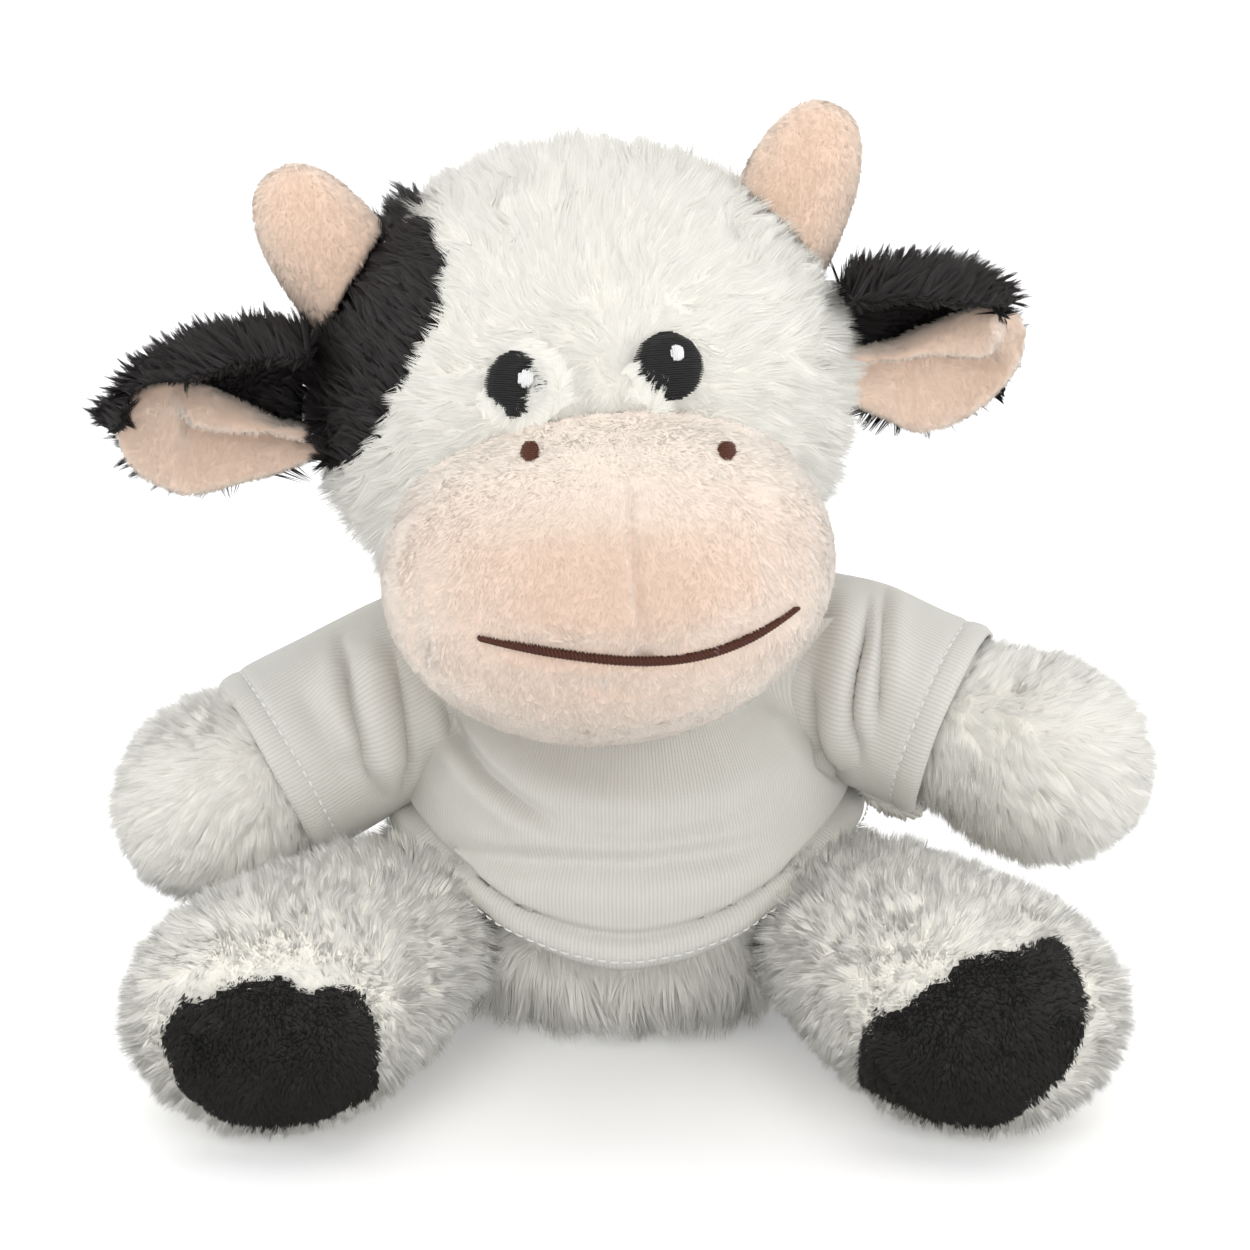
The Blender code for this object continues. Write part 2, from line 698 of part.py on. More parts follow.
def build_ears(neck):
    for side, sign in SIDES.items():
        length = EAR_REACH[side] - HEAD_HALF_WIDTH * EAR_ROOT_SHARE
        hinge = Vector((sign * HEAD_HALF_WIDTH, 0, EAR_RISE[side]))
        empty = joint_empty(f"{side}_ear_joint", HEAD_PLACE @ Matrix.Translation(hinge))
        empty.parent = neck
        empty.matrix_parent_inverse = neck.matrix_world.inverted()
        room = [
            cutter(f"{side}_ear_room_{i}", head_form(EAR_ROOT_GAP), HEAD_PLACE @ turned_about(hinge, UP, -angle))
            for i, angle in enumerate((0, *EAR_SWINGS))
        ]
        back = leaf(length, 1, EAR_BACK_STEPS, 0, -EAR_BACK_WALL)
        back = mirrored(moved(back, ear_root(side)), side)
        cut(solid(f"{side}_ear_back", back, BLACK_FUR, HEAD_PLACE, empty), *room)
        inner = FIT_GAP + EAR_LINING_WALL
        lining = leaf(length, LINING_LENGTH_SHARE, EAR_LINING_STEPS, FIT_GAP, inner)
        lining = mirrored(moved(lining, ear_root(side)), side)
        cut(solid(f"{side}_ear_lining", lining, PINK_VELBOA, HEAD_PLACE, empty), *room)


# Limbs

def build_arms():
    for side, sign in SIDES.items():
        place = Matrix.Translation(shoulder(side))
        empty = joint_empty(f"{side}_arm_joint", place)
        room = swing_room(f"{side}_arm_room", shoulder(side), SHOULDER_BALL, -sign * BACK, ARM_SWINGS)
        skin = solid(f"{side}_arm_skin", arm_form(side, 0), WHITE_FUR, place, empty)
        hollow = cutter(f"{side}_arm_hollow", arm_form(side, -SKIN_WALL, 12, 9), place)
        cut(skin, hollow, torso_clearance, *room)
        shape = arm_form(side, -SKIN_WALL - FIT_GAP, 12, 9)
        cut(solid(f"{side}_arm_filling", shape, FILLING, place, empty), torso_clearance, *room)


def sole_block(side, gap):
    """The outline of the sole, run in through the front of the leg along the leg."""
    shape = drum(1, SOLE_DEPTH)
    shape.transform(Matrix.Diagonal((SOLE_HALF_WIDTH + gap, SOLE_HALF_HEIGHT + gap, 1, 1)))
    ahead = Matrix.Translation((-SOLE_INWARD, -SOLE_DOWN, LEG_LENGTH))
    return mirrored(moved(shape, leg_turn(side), ahead, Matrix.Rotation(SOLE_ROLL[side], 4, "Z")), side)


def build_legs():
    for side, sign in SIDES.items():
        place = Matrix.Translation(hip(side))
        empty = joint_empty(f"{side}_leg_joint", place)
        room = swing_room(f"{side}_leg_room", hip(side), HIP_BALL, sign * UP, LEG_SWINGS)
        skin = solid(f"{side}_leg_skin", leg_form(side, 0), WHITE_FUR, place, empty)
        hollow = cutter(f"{side}_leg_hollow", leg_form(side, -SKIN_WALL, 12, 9), place)
        sole_edge = cutter(f"{side}_sole_edge", sole_block(side, FIT_GAP), place)
        cut(skin, hollow, torso_clearance, sole_edge, floor_block, *room)
        sole = solid(f"{side}_foot_sole", leg_form(side, 0), BLACK_FUR, place, empty)
        cut(sole, hollow, floor_block)
        kept_inside(sole, cutter(f"{side}_sole_area", sole_block(side, 0), place))
        shape = leg_form(side, -SKIN_WALL - FIT_GAP, 12, 9)
        cut(solid(f"{side}_leg_filling", shape, FILLING, place, empty), torso_clearance, *room)


def build_tail():
    place = Matrix.Translation(tail_root())
    empty = joint_empty("tail_joint", place)
    down = Matrix.Rotation(math.radians(-90) - TAIL_DROOP, 4, "X")
    half = TAIL_LENGTH / 2
    cord = rounded((TAIL_RADIUS, TAIL_RADIUS, half), blunt=ROUND + 1, sides=14, rings=10)
    cord = moved(cord, down, Matrix.Translation((0, 0, half)))
    tuft_middle = TAIL_LENGTH + TUFT_LENGTH / 2 - TUFT_OVERLAP
    tuft_radii = (TUFT_RADIUS, TUFT_RADIUS, TUFT_LENGTH / 2)
    tuft = moved(rounded(tuft_radii, sides=14, rings=10), down, Matrix.Translation((0, 0, tuft_middle)))
    room = swing_room("tail_room", tail_root(), TAIL_BALL, UP, TAIL_SWINGS)
    cut(solid("tail_cord", cord, WHITE_FUR, place, empty), torso_clearance, *room)
    cord_end = rounded((TAIL_RADIUS,) * 2 + (half,), FIT_GAP, blunt=ROUND + 1, sides=14, rings=10)
    cord_end = cutter("tail_cord_end", moved(cord_end, down, Matrix.Translation((0, 0, half))), place)
    cut(solid("tail_tuft", tuft, BLACK_FUR, place, empty), cord_end)


# T-shirt

def hem_height(across, half_width, low, high):
    """A hem that dips to its lowest place in the middle and levels out at half_width."""
    reach = min(1.0, abs(across) / half_width)
    return low + (high - low) * reach ** HEM_BEND


def neckline_at(y):
    """The neckline's height, which rises evenly from the front to the back."""
    rise = (NECKLINE_BACK - NECKLINE_FRONT) / (2 * TORSO_HALF_DEPTH)
    return (NECKLINE_FRONT + NECKLINE_BACK) / 2 + rise * y


def above_neckline():
    slope = math.atan2(NECKLINE_BACK - NECKLINE_FRONT, 2 * TORSO_HALF_DEPTH)
    shape = block((4 * SHIRT_HALF_WIDTH, 4 * SHIRT_HALF_DEPTH, SHIRT_HEIGHT))
    return moved(
        shape,
        Matrix.Translation((0, 0, neckline_at(0))),
        Matrix.Rotation(slope, 4, "X"),
        Matrix.Translation((0, 0, SHIRT_HEIGHT / 2)),
    )


def panel_area(near, far, half_width, hem_low):
    """All of one side of the body above the hem's curve."""
    wide = SHIRT_HALF_WIDTH * max(SHIRT_SWELL_SHARES) + CUTTER_OVERRUN
    steps = [wide * (2 * i / (HEM_POINTS - 1) - 1) for i in range(HEM_POINTS)]
    outline = [(x, hem_height(x, half_width, hem_low, HEM_SIDE)) for x in steps]
    outline += [(wide, SHIRT_HEIGHT + CUTTER_OVERRUN), (-wide, SHIRT_HEIGHT + CUTTER_OVERRUN)]
    return prism(outline, near, far)


def build_shirt():
    hollow = cutter("shirt_hollow", shirt_form(-SHIRT_WALL))
    far = SHIRT_HALF_DEPTH * max(SHIRT_SWELL_SHARES) + CUTTER_OVERRUN
    areas = {
        "shirt_front": (-far, -FIT_GAP / 2, HEM_DIP_HALF_WIDTH, HEM_FRONT),
        "shirt_back": (FIT_GAP / 2, far, HEM_BACK_HALF_WIDTH, HEM_BACK),
    }
    room = [
        cutter("neckline", above_neckline()),
        cutter("head_room", head_form(SHIRT_CLEARANCE, 20, 12), HEAD_PLACE),
        cutter("muzzle_room", muzzle_form(SHIRT_CLEARANCE, 18, 12), HEAD_PLACE),
    ]
    for side, sign in SIDES.items():
        room.append(cutter(f"{side}_armhole", lobe(shoulder(side), ARMHOLE, 0, 18, 12)))
        reach = 2 * SLEEVE_LENGTH[side]
        sleeve_place = Matrix.Translation(shoulder(side))
        room.append(cutter(f"{side}_sleeve_room", sleeve_form(side, FIT_GAP, reach), sleeve_place))
        for i, angle in enumerate((0, LEG_SWINGS[0])):
            turn = Matrix.Rotation(sign * angle, 4, "Z")
            leg_place = Matrix.Translation(hip(side)) @ turn
            room.append(cutter(f"{side}_hem_room_{i}", leg_form(side, SHIRT_CLEARANCE), leg_place))
    for name, area in areas.items():
        panel = solid(name, shirt_form(0), SHIRT_CLOTH)
        cut(panel, hollow)
        kept_inside(panel, cutter(f"{name}_area", panel_area(*area)))
        cut(panel, *room)


def sleeve_form(side, grow, reach):
    """A sleeve about its shoulder, wrapped over it and run out along the arm as far as reach."""
    half = (reach + ARMHOLE) / 2
    shape = rounded(
        (SLEEVE_RADIUS, SLEEVE_RADIUS, half), grow, SLEEVE_SWELL_SHARES, SHIRT_BLUNTNESS, 16, 11
    )
    return mirrored(moved(shape, arm_turn(side), Matrix.Translation((0, 0, half - ARMHOLE))), side)


def build_sleeves():
    head_room = bpy.data.objects["head_room"]
    muzzle_room = bpy.data.objects["muzzle_room"]
    for side in SIDES:
        place = Matrix.Translation(shoulder(side))
        empty = bpy.data.objects[f"{side}_arm_joint"]
        reach = 2 * SLEEVE_LENGTH[side]
        sleeve = solid(f"{side}_sleeve", sleeve_form(side, 0, reach), SHIRT_CLOTH, place, empty)
        hollow = cutter(f"{side}_sleeve_hollow", sleeve_form(side, -SLEEVE_WALL, reach), place)
        wide = 2 * (SLEEVE_RADIUS + CUTTER_OVERRUN)
        beyond = Matrix.Translation((0, 0, SLEEVE_LENGTH[side] + reach / 2))
        cuff = mirrored(moved(block((wide, wide, reach)), arm_turn(side), beyond), side)
        cut(sleeve, hollow, cutter(f"{side}_cuff", cuff, place), torso_clearance)
        cut(sleeve, head_room, muzzle_room)


def build_tab():
    """The blank folded tab that is sewn into the right side seam, just above the hem."""
    height = HEM_SIDE + TAB_WIDTH / 2
    seam = on_shirt(TAB_TURN, height)
    place = Matrix.Translation(seam) @ Matrix.Rotation(TAB_TURN - math.radians(90), 4, "Z")
    shape = block((TAB_LENGTH + SHIRT_CLEARANCE, TAB_THICKNESS, TAB_WIDTH))
    shape = moved(shape, Matrix.Translation(((TAB_LENGTH - SHIRT_CLEARANCE) / 2, 0, 0)))
    tab = solid("side_seam_tab", shape, TAB_SATIN, place)
    cut(tab, cutter("shirt_clearance", shirt_form(FIT_GAP)))


neck_joint = joint_empty("neck_joint", NECK_PLACE)
build_torso()
build_head(neck_joint)
build_face(neck_joint)
build_mouth(neck_joint)
build_horns(neck_joint)
build_ears(neck_joint)
build_arms()
build_legs()
build_tail()
build_shirt()
build_sleeves()
build_tab()
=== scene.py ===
import math
import bmesh
import bpy
import numpy as np
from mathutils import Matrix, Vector, kdtree
from mathutils.bvhtree import BVHTree


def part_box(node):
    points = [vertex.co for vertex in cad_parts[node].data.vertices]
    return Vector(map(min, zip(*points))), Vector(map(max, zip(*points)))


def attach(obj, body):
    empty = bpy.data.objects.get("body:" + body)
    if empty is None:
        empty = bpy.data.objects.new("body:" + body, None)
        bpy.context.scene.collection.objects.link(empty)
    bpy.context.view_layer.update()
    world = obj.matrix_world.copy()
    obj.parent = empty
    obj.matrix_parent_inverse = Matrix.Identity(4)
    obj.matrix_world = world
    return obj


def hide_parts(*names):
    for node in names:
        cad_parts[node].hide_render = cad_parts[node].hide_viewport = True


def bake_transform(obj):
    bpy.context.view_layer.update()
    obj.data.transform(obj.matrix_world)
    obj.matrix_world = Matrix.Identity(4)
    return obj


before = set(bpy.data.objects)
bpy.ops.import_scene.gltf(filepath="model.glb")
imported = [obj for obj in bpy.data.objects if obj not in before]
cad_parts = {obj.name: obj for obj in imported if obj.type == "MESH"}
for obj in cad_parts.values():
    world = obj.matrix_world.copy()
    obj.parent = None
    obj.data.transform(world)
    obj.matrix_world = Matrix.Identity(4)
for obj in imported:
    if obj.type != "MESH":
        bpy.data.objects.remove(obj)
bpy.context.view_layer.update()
scene = bpy.context.scene
print("frame loaded,", len(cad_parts), "nodes")


def unit(rows):
    return rows / np.maximum(np.linalg.norm(rows, axis=-1, keepdims=True), 1e-12)


def dots(first, second):
    return (first * second).sum(axis=-1, keepdims=True)


def softNoise(points, cell, seed):
    table = np.random.default_rng(seed).uniform(-1, 1, (32, 32, 32, 3))
    scaled = points / cell
    low = np.floor(scaled).astype(int)
    part = scaled - low
    part = part * part * (3 - 2 * part)
    total = np.zeros((len(points), 3))
    for corner in range(8):
        step = np.array([corner & 1, corner >> 1 & 1, corner >> 2 & 1])
        weight = np.prod(np.where(step, part, 1 - part), axis=1)
        at = (low + step) % 32
        total += table[at[:, 0], at[:, 1], at[:, 2]] * weight[:, None]
    return total


def ramp(values, low, high):
    part = np.clip((values - low) / (high - low), 0, 1)
    return part * part * (3 - 2 * part)


def bell(values, width):
    return np.exp(-0.5 * (values / width) ** 2)


def lengthsAlong(points):
    return np.concatenate([[0], np.cumsum(np.linalg.norm(np.diff(points, axis=0), axis=1))])


def placeOn(points, marks, places):
    # the spots at these places along a line whose points lie at the marks
    return np.stack([np.interp(places, marks, column) for column in np.array(points, float).T], axis=-1)


def softenLine(line, passes):
    for _ in range(passes):
        line[1:-1] = (line[:-2] + 2 * line[1:-1] + line[2:]) / 4
    return line


def evenLine(points, count):
    points = np.array(points, float)
    marks = lengthsAlong(points)
    return softenLine(placeOn(points, marks, np.linspace(0, marks[-1], count)), 3)


def readRows(items, field):
    rows = np.empty(len(items) * 3, np.float32)
    items.foreach_get(field, rows)
    return rows.reshape(-1, 3).astype(float)


def toArray(mesh):
    return readRows(mesh.vertices, "co")


def normalsOf(mesh):
    return readRows(mesh.vertex_normals, "vector")


def movePoints(mesh, points):
    mesh.vertices.foreach_set("co", points.astype(np.float32).ravel())
    mesh.update()


def toMesh(name, points, corners, starts):
    mesh = bpy.data.meshes.new(name)
    mesh.vertices.add(len(points))
    mesh.vertices.foreach_set("co", np.ascontiguousarray(points, np.float32).ravel())
    mesh.loops.add(len(corners))
    mesh.loops.foreach_set("vertex_index", np.ascontiguousarray(corners, np.int32))
    mesh.polygons.add(len(starts))
    mesh.polygons.foreach_set("loop_start", np.ascontiguousarray(starts, np.int32))
    mesh.update(calc_edges=True)
    mesh.validate()
    return mesh


def dress(mesh, material, smooth=True):
    if smooth:
        mesh.polygons.foreach_set("use_smooth", np.ones(len(mesh.polygons), bool))
    mesh.materials.clear()
    mesh.materials.append(material)


def addPiece(name, mesh, material, smooth=True):
    piece = bpy.data.objects.new(name, mesh)
    scene.collection.objects.link(piece)
    dress(mesh, material, smooth)
    return piece


def settle(piece):
    bpy.context.view_layer.update()
    seen = piece.evaluated_get(bpy.context.evaluated_depsgraph_get())
    final = bpy.data.meshes.new_from_object(seen)
    piece.modifiers.clear()
    piece.data = final
    return final


def thicken(piece, thickness, offset=1.0):
    skin = piece.modifiers.new("skin", "SOLIDIFY")
    skin.thickness = thickness
    skin.offset = offset
    settle(piece)


def declare(piece, body, nodes=()):
    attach(piece, body)
    if nodes:
        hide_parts(*nodes)


def nodeMesh(names):
    build = bmesh.new()
    for name in names:
        build.from_mesh(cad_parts[name].data)
    return build


def nodeTree(*names):
    build = nodeMesh(names)
    tree = BVHTree.FromBMesh(build)
    build.free()
    return tree


def nodePoints(*names):
    return np.concatenate([toArray(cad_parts[name].data) for name in names])


def insideNode(points, *names):
    tree = nodeTree(*names)
    inside = np.zeros(len(points), bool)
    for index, spot in enumerate(points.tolist()):
        hit, normal, _, _ = tree.find_nearest(spot)
        inside[index] = (Vector(spot) - hit).dot(normal) < 0
    return inside


def distanceTo(points, *names):
    tree = nodeTree(*names)
    return np.array([tree.find_nearest(spot)[3] for spot in points.tolist()])


def boxMiddle(node):
    low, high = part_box(node)
    return np.array((low + high) / 2)


# The camera's own geometry, which also places the shirt's folds
view = {"distance": 0.700, "elevation": 15.0, "aim": (0.0, 0.0, 0.0665), "focal": 4023.0, "middle": 625.0}
tilt = math.radians(view["elevation"])
eyePoint = np.array(view["aim"]) + view["distance"] * np.array([0, -math.cos(tilt), math.sin(tilt)])
lookAlong = unit(np.array(view["aim"]) - eyePoint)
lookUp = np.array([0, math.sin(tilt), math.cos(tilt)])
lookAcross = np.array([1.0, 0.0, 0.0])


def toPixels(points):
    offset = points - eyePoint
    depth = offset @ lookAlong
    across = view["middle"] + view["focal"] * offset[:, 0] / depth
    down = view["middle"] - view["focal"] * (offset @ lookUp) / depth
    return np.stack([across, down], axis=1)


def fromPixels(pixels, spot, normal):
    across = (pixels[:, :1] - view["middle"]) / view["focal"]
    down = (pixels[:, 1:] - view["middle"]) / view["focal"]
    rays = lookAlong + across * lookAcross - down * lookUp
    reach = ((spot - eyePoint) @ normal) / (rays @ normal)
    return eyePoint + rays * reach[:, None]


def alongStep(pixels, first, second):
    # how far along a step each pixel is nearest to it, and the gap left
    step = second - first
    share = np.clip(((pixels - first) @ step) / (step @ step), 0, 1)
    return share, np.linalg.norm(pixels - (first + share[:, None] * step), axis=1)


def insideOutline(pixels, outline):
    # the gap to the outline in pixels, above zero inside it
    corners = np.array(outline, float)
    inside = np.zeros(len(pixels), bool)
    gap = np.full(len(pixels), 1e9)
    for first, second in zip(corners, np.roll(corners, -1, axis=0)):
        crosses = (first[1] > pixels[:, 1]) != (second[1] > pixels[:, 1])
        slope = (second[0] - first[0]) / (second[1] - first[1] + 1e-9)
        inside ^= crosses & (pixels[:, 0] < first[0] + slope * (pixels[:, 1] - first[1]))
        gap = np.minimum(gap, alongStep(pixels, first, second)[1])
    return np.where(inside, gap, -gap)


def facingCamera(points, normals):
    return dots(normals, unit(eyePoint - points))[:, 0]


def outlineGap(points, normals, outline, least):
    # what turns away from the camera counts as far outside the outline
    gap = insideOutline(toPixels(points), outline)
    return np.where(facingCamera(points, normals) > least, gap, -1000.0)


def foldHeight(points, normals, folds):
    pixels = toPixels(points)
    height = np.zeros(len(points))
    for line, width, rise in folds:
        line = np.array(line, float)
        marks = lengthsAlong(line)
        best = np.full(len(points), 1e9)
        along = np.zeros(len(points))
        for index in range(len(line) - 1):
            share, gap = alongStep(pixels, line[index], line[index + 1])
            closer = gap < best
            best = np.where(closer, gap, best)
            walked = marks[index] + share * (marks[index + 1] - marks[index])
            along = np.where(closer, walked / marks[-1], along)
        ends = np.clip(np.minimum(along, 1 - along) * 5, 0, 1) * 0.85 + 0.15
        height += rise * bell(best, width) * ends
    return height * ramp(facingCamera(points, normals), 0.05, 0.35)


# each input of a node takes a value or another node's output
def feed(tree, node, inputs):
    for key, value in inputs.items():
        if isinstance(value, bpy.types.NodeSocket):
            tree.links.new(value, node.inputs[key])
        else:
            node.inputs[key].default_value = value


def addNode(tree, kind, place, inputs=None, **settings):
    node = tree.nodes.new(kind)
    node.location = place
    for key, value in settings.items():
        setattr(node, key, value)
    feed(tree, node, inputs or {})
    return node


def mathNode(tree, operation, place, *values):
    node = addNode(tree, "ShaderNodeMath", place, dict(enumerate(values)), operation=operation)
    return node.outputs[0]


def mixColours(tree, place, share, first, second):
    node = addNode(tree, "ShaderNodeMix", place, {0: share, 6: first, 7: second}, data_type="RGBA")
    return node.outputs[2]


def newGroup(name, inputs, outputs):
    group = bpy.data.node_groups.new(name, "ShaderNodeTree")
    for label, value in inputs.items():
        kind = "NodeSocketColor" if isinstance(value, tuple) else "NodeSocketFloat"
        group.interface.new_socket(label, in_out="INPUT", socket_type=kind).default_value = value
    for label in outputs:
        kind = "NodeSocketColor" if label == "Color" else "NodeSocketFloat"
        group.interface.new_socket(label, in_out="OUTPUT", socket_type=kind)
    return group, addNode(group, "NodeGroupInput", (-900, 0)), addNode(group, "NodeGroupOutput", (700, 0))


def varyTone(group, given, result, colour, swing):
    # the colour gets lighter and darker as the value swings about a half
    swing = mathNode(group, "SUBTRACT", (-350, 450), swing, 0.5)
    amount = mathNode(group, "MULTIPLY_ADD", (-150, 450), swing, given.outputs["Vary"], 1.0)
    shade = addNode(group, "ShaderNodeHueSaturation", (200, 100), {"Color": colour, "Value": amount})
    feed(group, result, {"Color": shade.outputs[0]})


def strandShade():
    inputs = {"ShadedRoot": (0.6, 0.6, 0.6, 1), "Tip": (0.9, 0.9, 0.9, 1), "Vary": 0.06}
    group, given, result = newGroup("strandShade", inputs, ["Color"])
    uvSpot = addNode(group, "ShaderNodeUVMap", (-900, 300), uv_map="OFBake")
    parts = addNode(group, "ShaderNodeSeparateXYZ", (-700, 300), {0: uvSpot.outputs[0]})
    # painted shade: the colour darkens from tip to root, for the shade that falls deep between the fibres
    rise = addNode(group, "ShaderNodeMapRange", (-500, 200), {"Value": parts.outputs["Y"]})
    rootShaded = mixColours(group, (-200, 100), rise.outputs[0], given.outputs["ShadedRoot"], given.outputs["Tip"])
    varyTone(group, given, result, rootShaded, parts.outputs["X"])
    return group


def knitFace():
    inputs = {"Yarn": (0.7, 0.7, 0.7, 1), "Pitch": 0.00066, "Depth": 0.2}
    group, given, result = newGroup("knitFace", inputs, ["Color", "Height"])
    uvSpot = addNode(group, "ShaderNodeUVMap", (-900, 400), uv_map="Knit")
    scale = mathNode(group, "DIVIDE", (-900, 200), 1.0, given.outputs["Pitch"])
    grid = addNode(group, "ShaderNodeVectorMath", (-700, 400), {0: uvSpot.outputs[0], "Scale": scale},
                   operation="SCALE")
    parts = addNode(group, "ShaderNodeSeparateXYZ", (-500, 400), {0: grid.outputs[0]})
    turnU = mathNode(group, "MULTIPLY", (-300, 500), parts.outputs["X"], math.pi)
    turnV = mathNode(group, "MULTIPLY", (-300, 300), parts.outputs["Y"], math.pi * 2.4)
    wales = mathNode(group, "ABSOLUTE", (50, 500), mathNode(group, "SINE", (-100, 500), turnU))
    courses = mathNode(group, "SINE", (-100, 300), turnV)
    loops = mathNode(group, "MULTIPLY_ADD", (200, 400), courses, 0.07, wales)
    # painted shade: the yarn darkens in the hollows between the loops
    low = mathNode(group, "SUBTRACT", (200, 100), 1.0, given.outputs["Depth"])
    grooveShaded = addNode(group, "ShaderNodeMapRange", (350, 200),
                     {"Value": loops, "From Max": 0.9, "To Min": low})
    shade = addNode(group, "ShaderNodeHueSaturation", (520, 100),
                    {"Color": given.outputs["Yarn"], "Value": grooveShaded.outputs[0]})
    feed(group, result, {"Color": shade.outputs[0], "Height": loops})
    return group


def clothTone():
    inputs = {"Base": (0.8, 0.8, 0.8, 1), "Size": 300.0, "Vary": 0.1}
    group, given, result = newGroup("clothTone", inputs, ["Color", "Height"])
    spot = addNode(group, "ShaderNodeTexCoord", (-900, 300)).outputs["Object"]
    cloud = addNode(group, "ShaderNodeTexNoise", (-600, 300),
                    {"Vector": spot, "Scale": given.outputs["Size"], "Detail": 5.0, "Roughness": 0.6})
    feed(group, result, {"Height": cloud.outputs["Fac"]})
    varyTone(group, given, result, given.outputs["Base"], cloud.outputs["Fac"])
    return group


strandGroup = strandShade()
knitGroup = knitFace()
toneGroup = clothTone()


def startMaterial(name, rough, specular, sheen=0.0):
    material = bpy.data.materials.new(name)
    material.use_nodes = True
    tree = material.node_tree
    shader = tree.nodes["Principled BSDF"]
    feed(tree, shader, {"Roughness": rough, "Specular IOR Level": specular, "Sheen Weight": sheen,
                        "Sheen Roughness": 0.5})
    return material, tree, shader


def paintedTopLight(tree, source, litTop):
    # painted light: the pile is paler towards the top, where the light falls most
    place = addNode(tree, "ShaderNodeTexCoord", (-1100, -250)).outputs["Object"]
    split = addNode(tree, "ShaderNodeSeparateXYZ", (-900, -250), {0: place})
    reach = {"Value": split.outputs[2], "From Min": litTop["low"], "From Max": litTop["high"]}
    share = addNode(tree, "ShaderNodeMapRange", (-700, -250), reach, interpolation_type="SMOOTHSTEP")
    return mixColours(tree, (-500, 150), share.outputs["Result"], source, (*litTop["colour"], 1))


def useColour(tree, source, shader, edge=None, litTop=None):
    if litTop:
        source = paintedTopLight(tree, source, litTop)
    if edge:  # a napped cloth gets a painted sheen, paler where it turns away
        sheenShare = addNode(tree, "ShaderNodeLayerWeight", (-500, -100), {"Blend": 0.55})
        source = mixColours(tree, (-250, 150), sheenShare.outputs["Facing"], source, (*edge, 1))
    feed(tree, shader, {"Base Color": source})


def useRelief(tree, shader, height, strength, distance):
    relief = addNode(tree, "ShaderNodeBump", (-300, -200),
                     {"Strength": strength, "Distance": distance, "Height": height})
    feed(tree, shader, {"Normal": relief.outputs[0]})


def furMaterial(name, root, tip, vary, rough, specular, edge=None, litTop=None):
    material, tree, shader = startMaterial(name, rough, specular)
    # the root colour is a painted shade, darker than the tip
    strand = addNode(tree, "ShaderNodeGroup", (-800, 200),
                     {"ShadedRoot": (*root, 1), "Tip": (*tip, 1), "Vary": vary}, node_tree=strandGroup)
    useColour(tree, strand.outputs["Color"], shader, edge, litTop)
    return material


def clothMaterial(name, base, rough, size, vary, bump=0.3, specular=0.25, edge=None, litTop=None):
    material, tree, shader = startMaterial(name, rough, specular)
    tone = addNode(tree, "ShaderNodeGroup", (-800, 200),
                   {"Base": (*base, 1), "Size": size, "Vary": vary}, node_tree=toneGroup)
    useColour(tree, tone.outputs["Color"], shader, edge, litTop)
    useRelief(tree, shader, tone.outputs["Height"], bump, 0.0004)
    return material


def knitMaterial(name, base, pitch, depth):
    material, tree, shader = startMaterial(name, 0.85, 0.2, sheen=0.15)
    # depth sets how dark the painted shade in the knit's hollows is
    knit = addNode(tree, "ShaderNodeGroup", (-600, 200),
                   {"Yarn": (*base, 1), "Pitch": pitch, "Depth": depth}, node_tree=knitGroup)
    useColour(tree, knit.outputs["Color"], shader)
    useRelief(tree, shader, knit.outputs["Height"], 0.5, 0.00015)
    return material


tints = {  # the pinks: the cloth, the pile's roots, darkened as painted shade, and tips, and the painted sheen that each shows where it turns away
    "muzzle": {"cloth": (0.78, 0.585, 0.465), "clothSheen": (0.95, 0.86, 0.78), "root": (0.78, 0.585, 0.465),
               "tip": (0.82, 0.64, 0.53), "vary": 0.05, "pileSheen": (0.96, 0.88, 0.80)},
    "velboa": {"cloth": (0.80, 0.60, 0.475), "clothSheen": (0.95, 0.86, 0.78), "root": (0.80, 0.60, 0.475),
               "tip": (0.855, 0.67, 0.555), "vary": 0.05, "pileSheen": (0.96, 0.88, 0.80)},
    "horn": {"cloth": (0.84, 0.625, 0.49), "clothSheen": (0.92, 0.78, 0.67), "root": (0.80, 0.58, 0.44),
             "tip": (0.875, 0.68, 0.55), "vary": 0.10, "pileSheen": (0.94, 0.80, 0.69)},
}


def napped(name, litTop=None):
    tint = tints[name]
    cloth = clothMaterial(name + "Cloth", tint["cloth"], 0.9, 900.0, 0.04, 0.1,
                          edge=tint["clothSheen"], litTop=litTop)
    nap = furMaterial(name + "Pile", tint["root"], tint["tip"], tint["vary"], 0.9, 0.05,
                      edge=tint["pileSheen"], litTop=litTop)
    return cloth, nap


# a fur has its root, darkened as painted shade, its tip, variation, roughness and shine, a cloth its colour,
# roughness, grain, variation, relief and shine
whiteFurCloth = furMaterial("whiteFur", (0.85, 0.825, 0.76), (0.93, 0.92, 0.865), 0.06, 0.95, 0.05)
whiteBacking = clothMaterial("whiteBacking", (0.83, 0.81, 0.75), 0.95, 500.0, 0.08)
blackFurCloth = furMaterial("blackFur", (0.005, 0.004, 0.004), (0.024, 0.0185, 0.0175), 0.6, 0.55, 0.4)
blackBacking = clothMaterial("blackBacking", (0.008, 0.007, 0.007), 0.9, 500.0, 0.2)
solePile = furMaterial("solePile", (0.004, 0.004, 0.003), (0.022, 0.020, 0.017), 0.7, 0.6, 0.4)
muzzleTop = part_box("muzzle_skin")[1].z
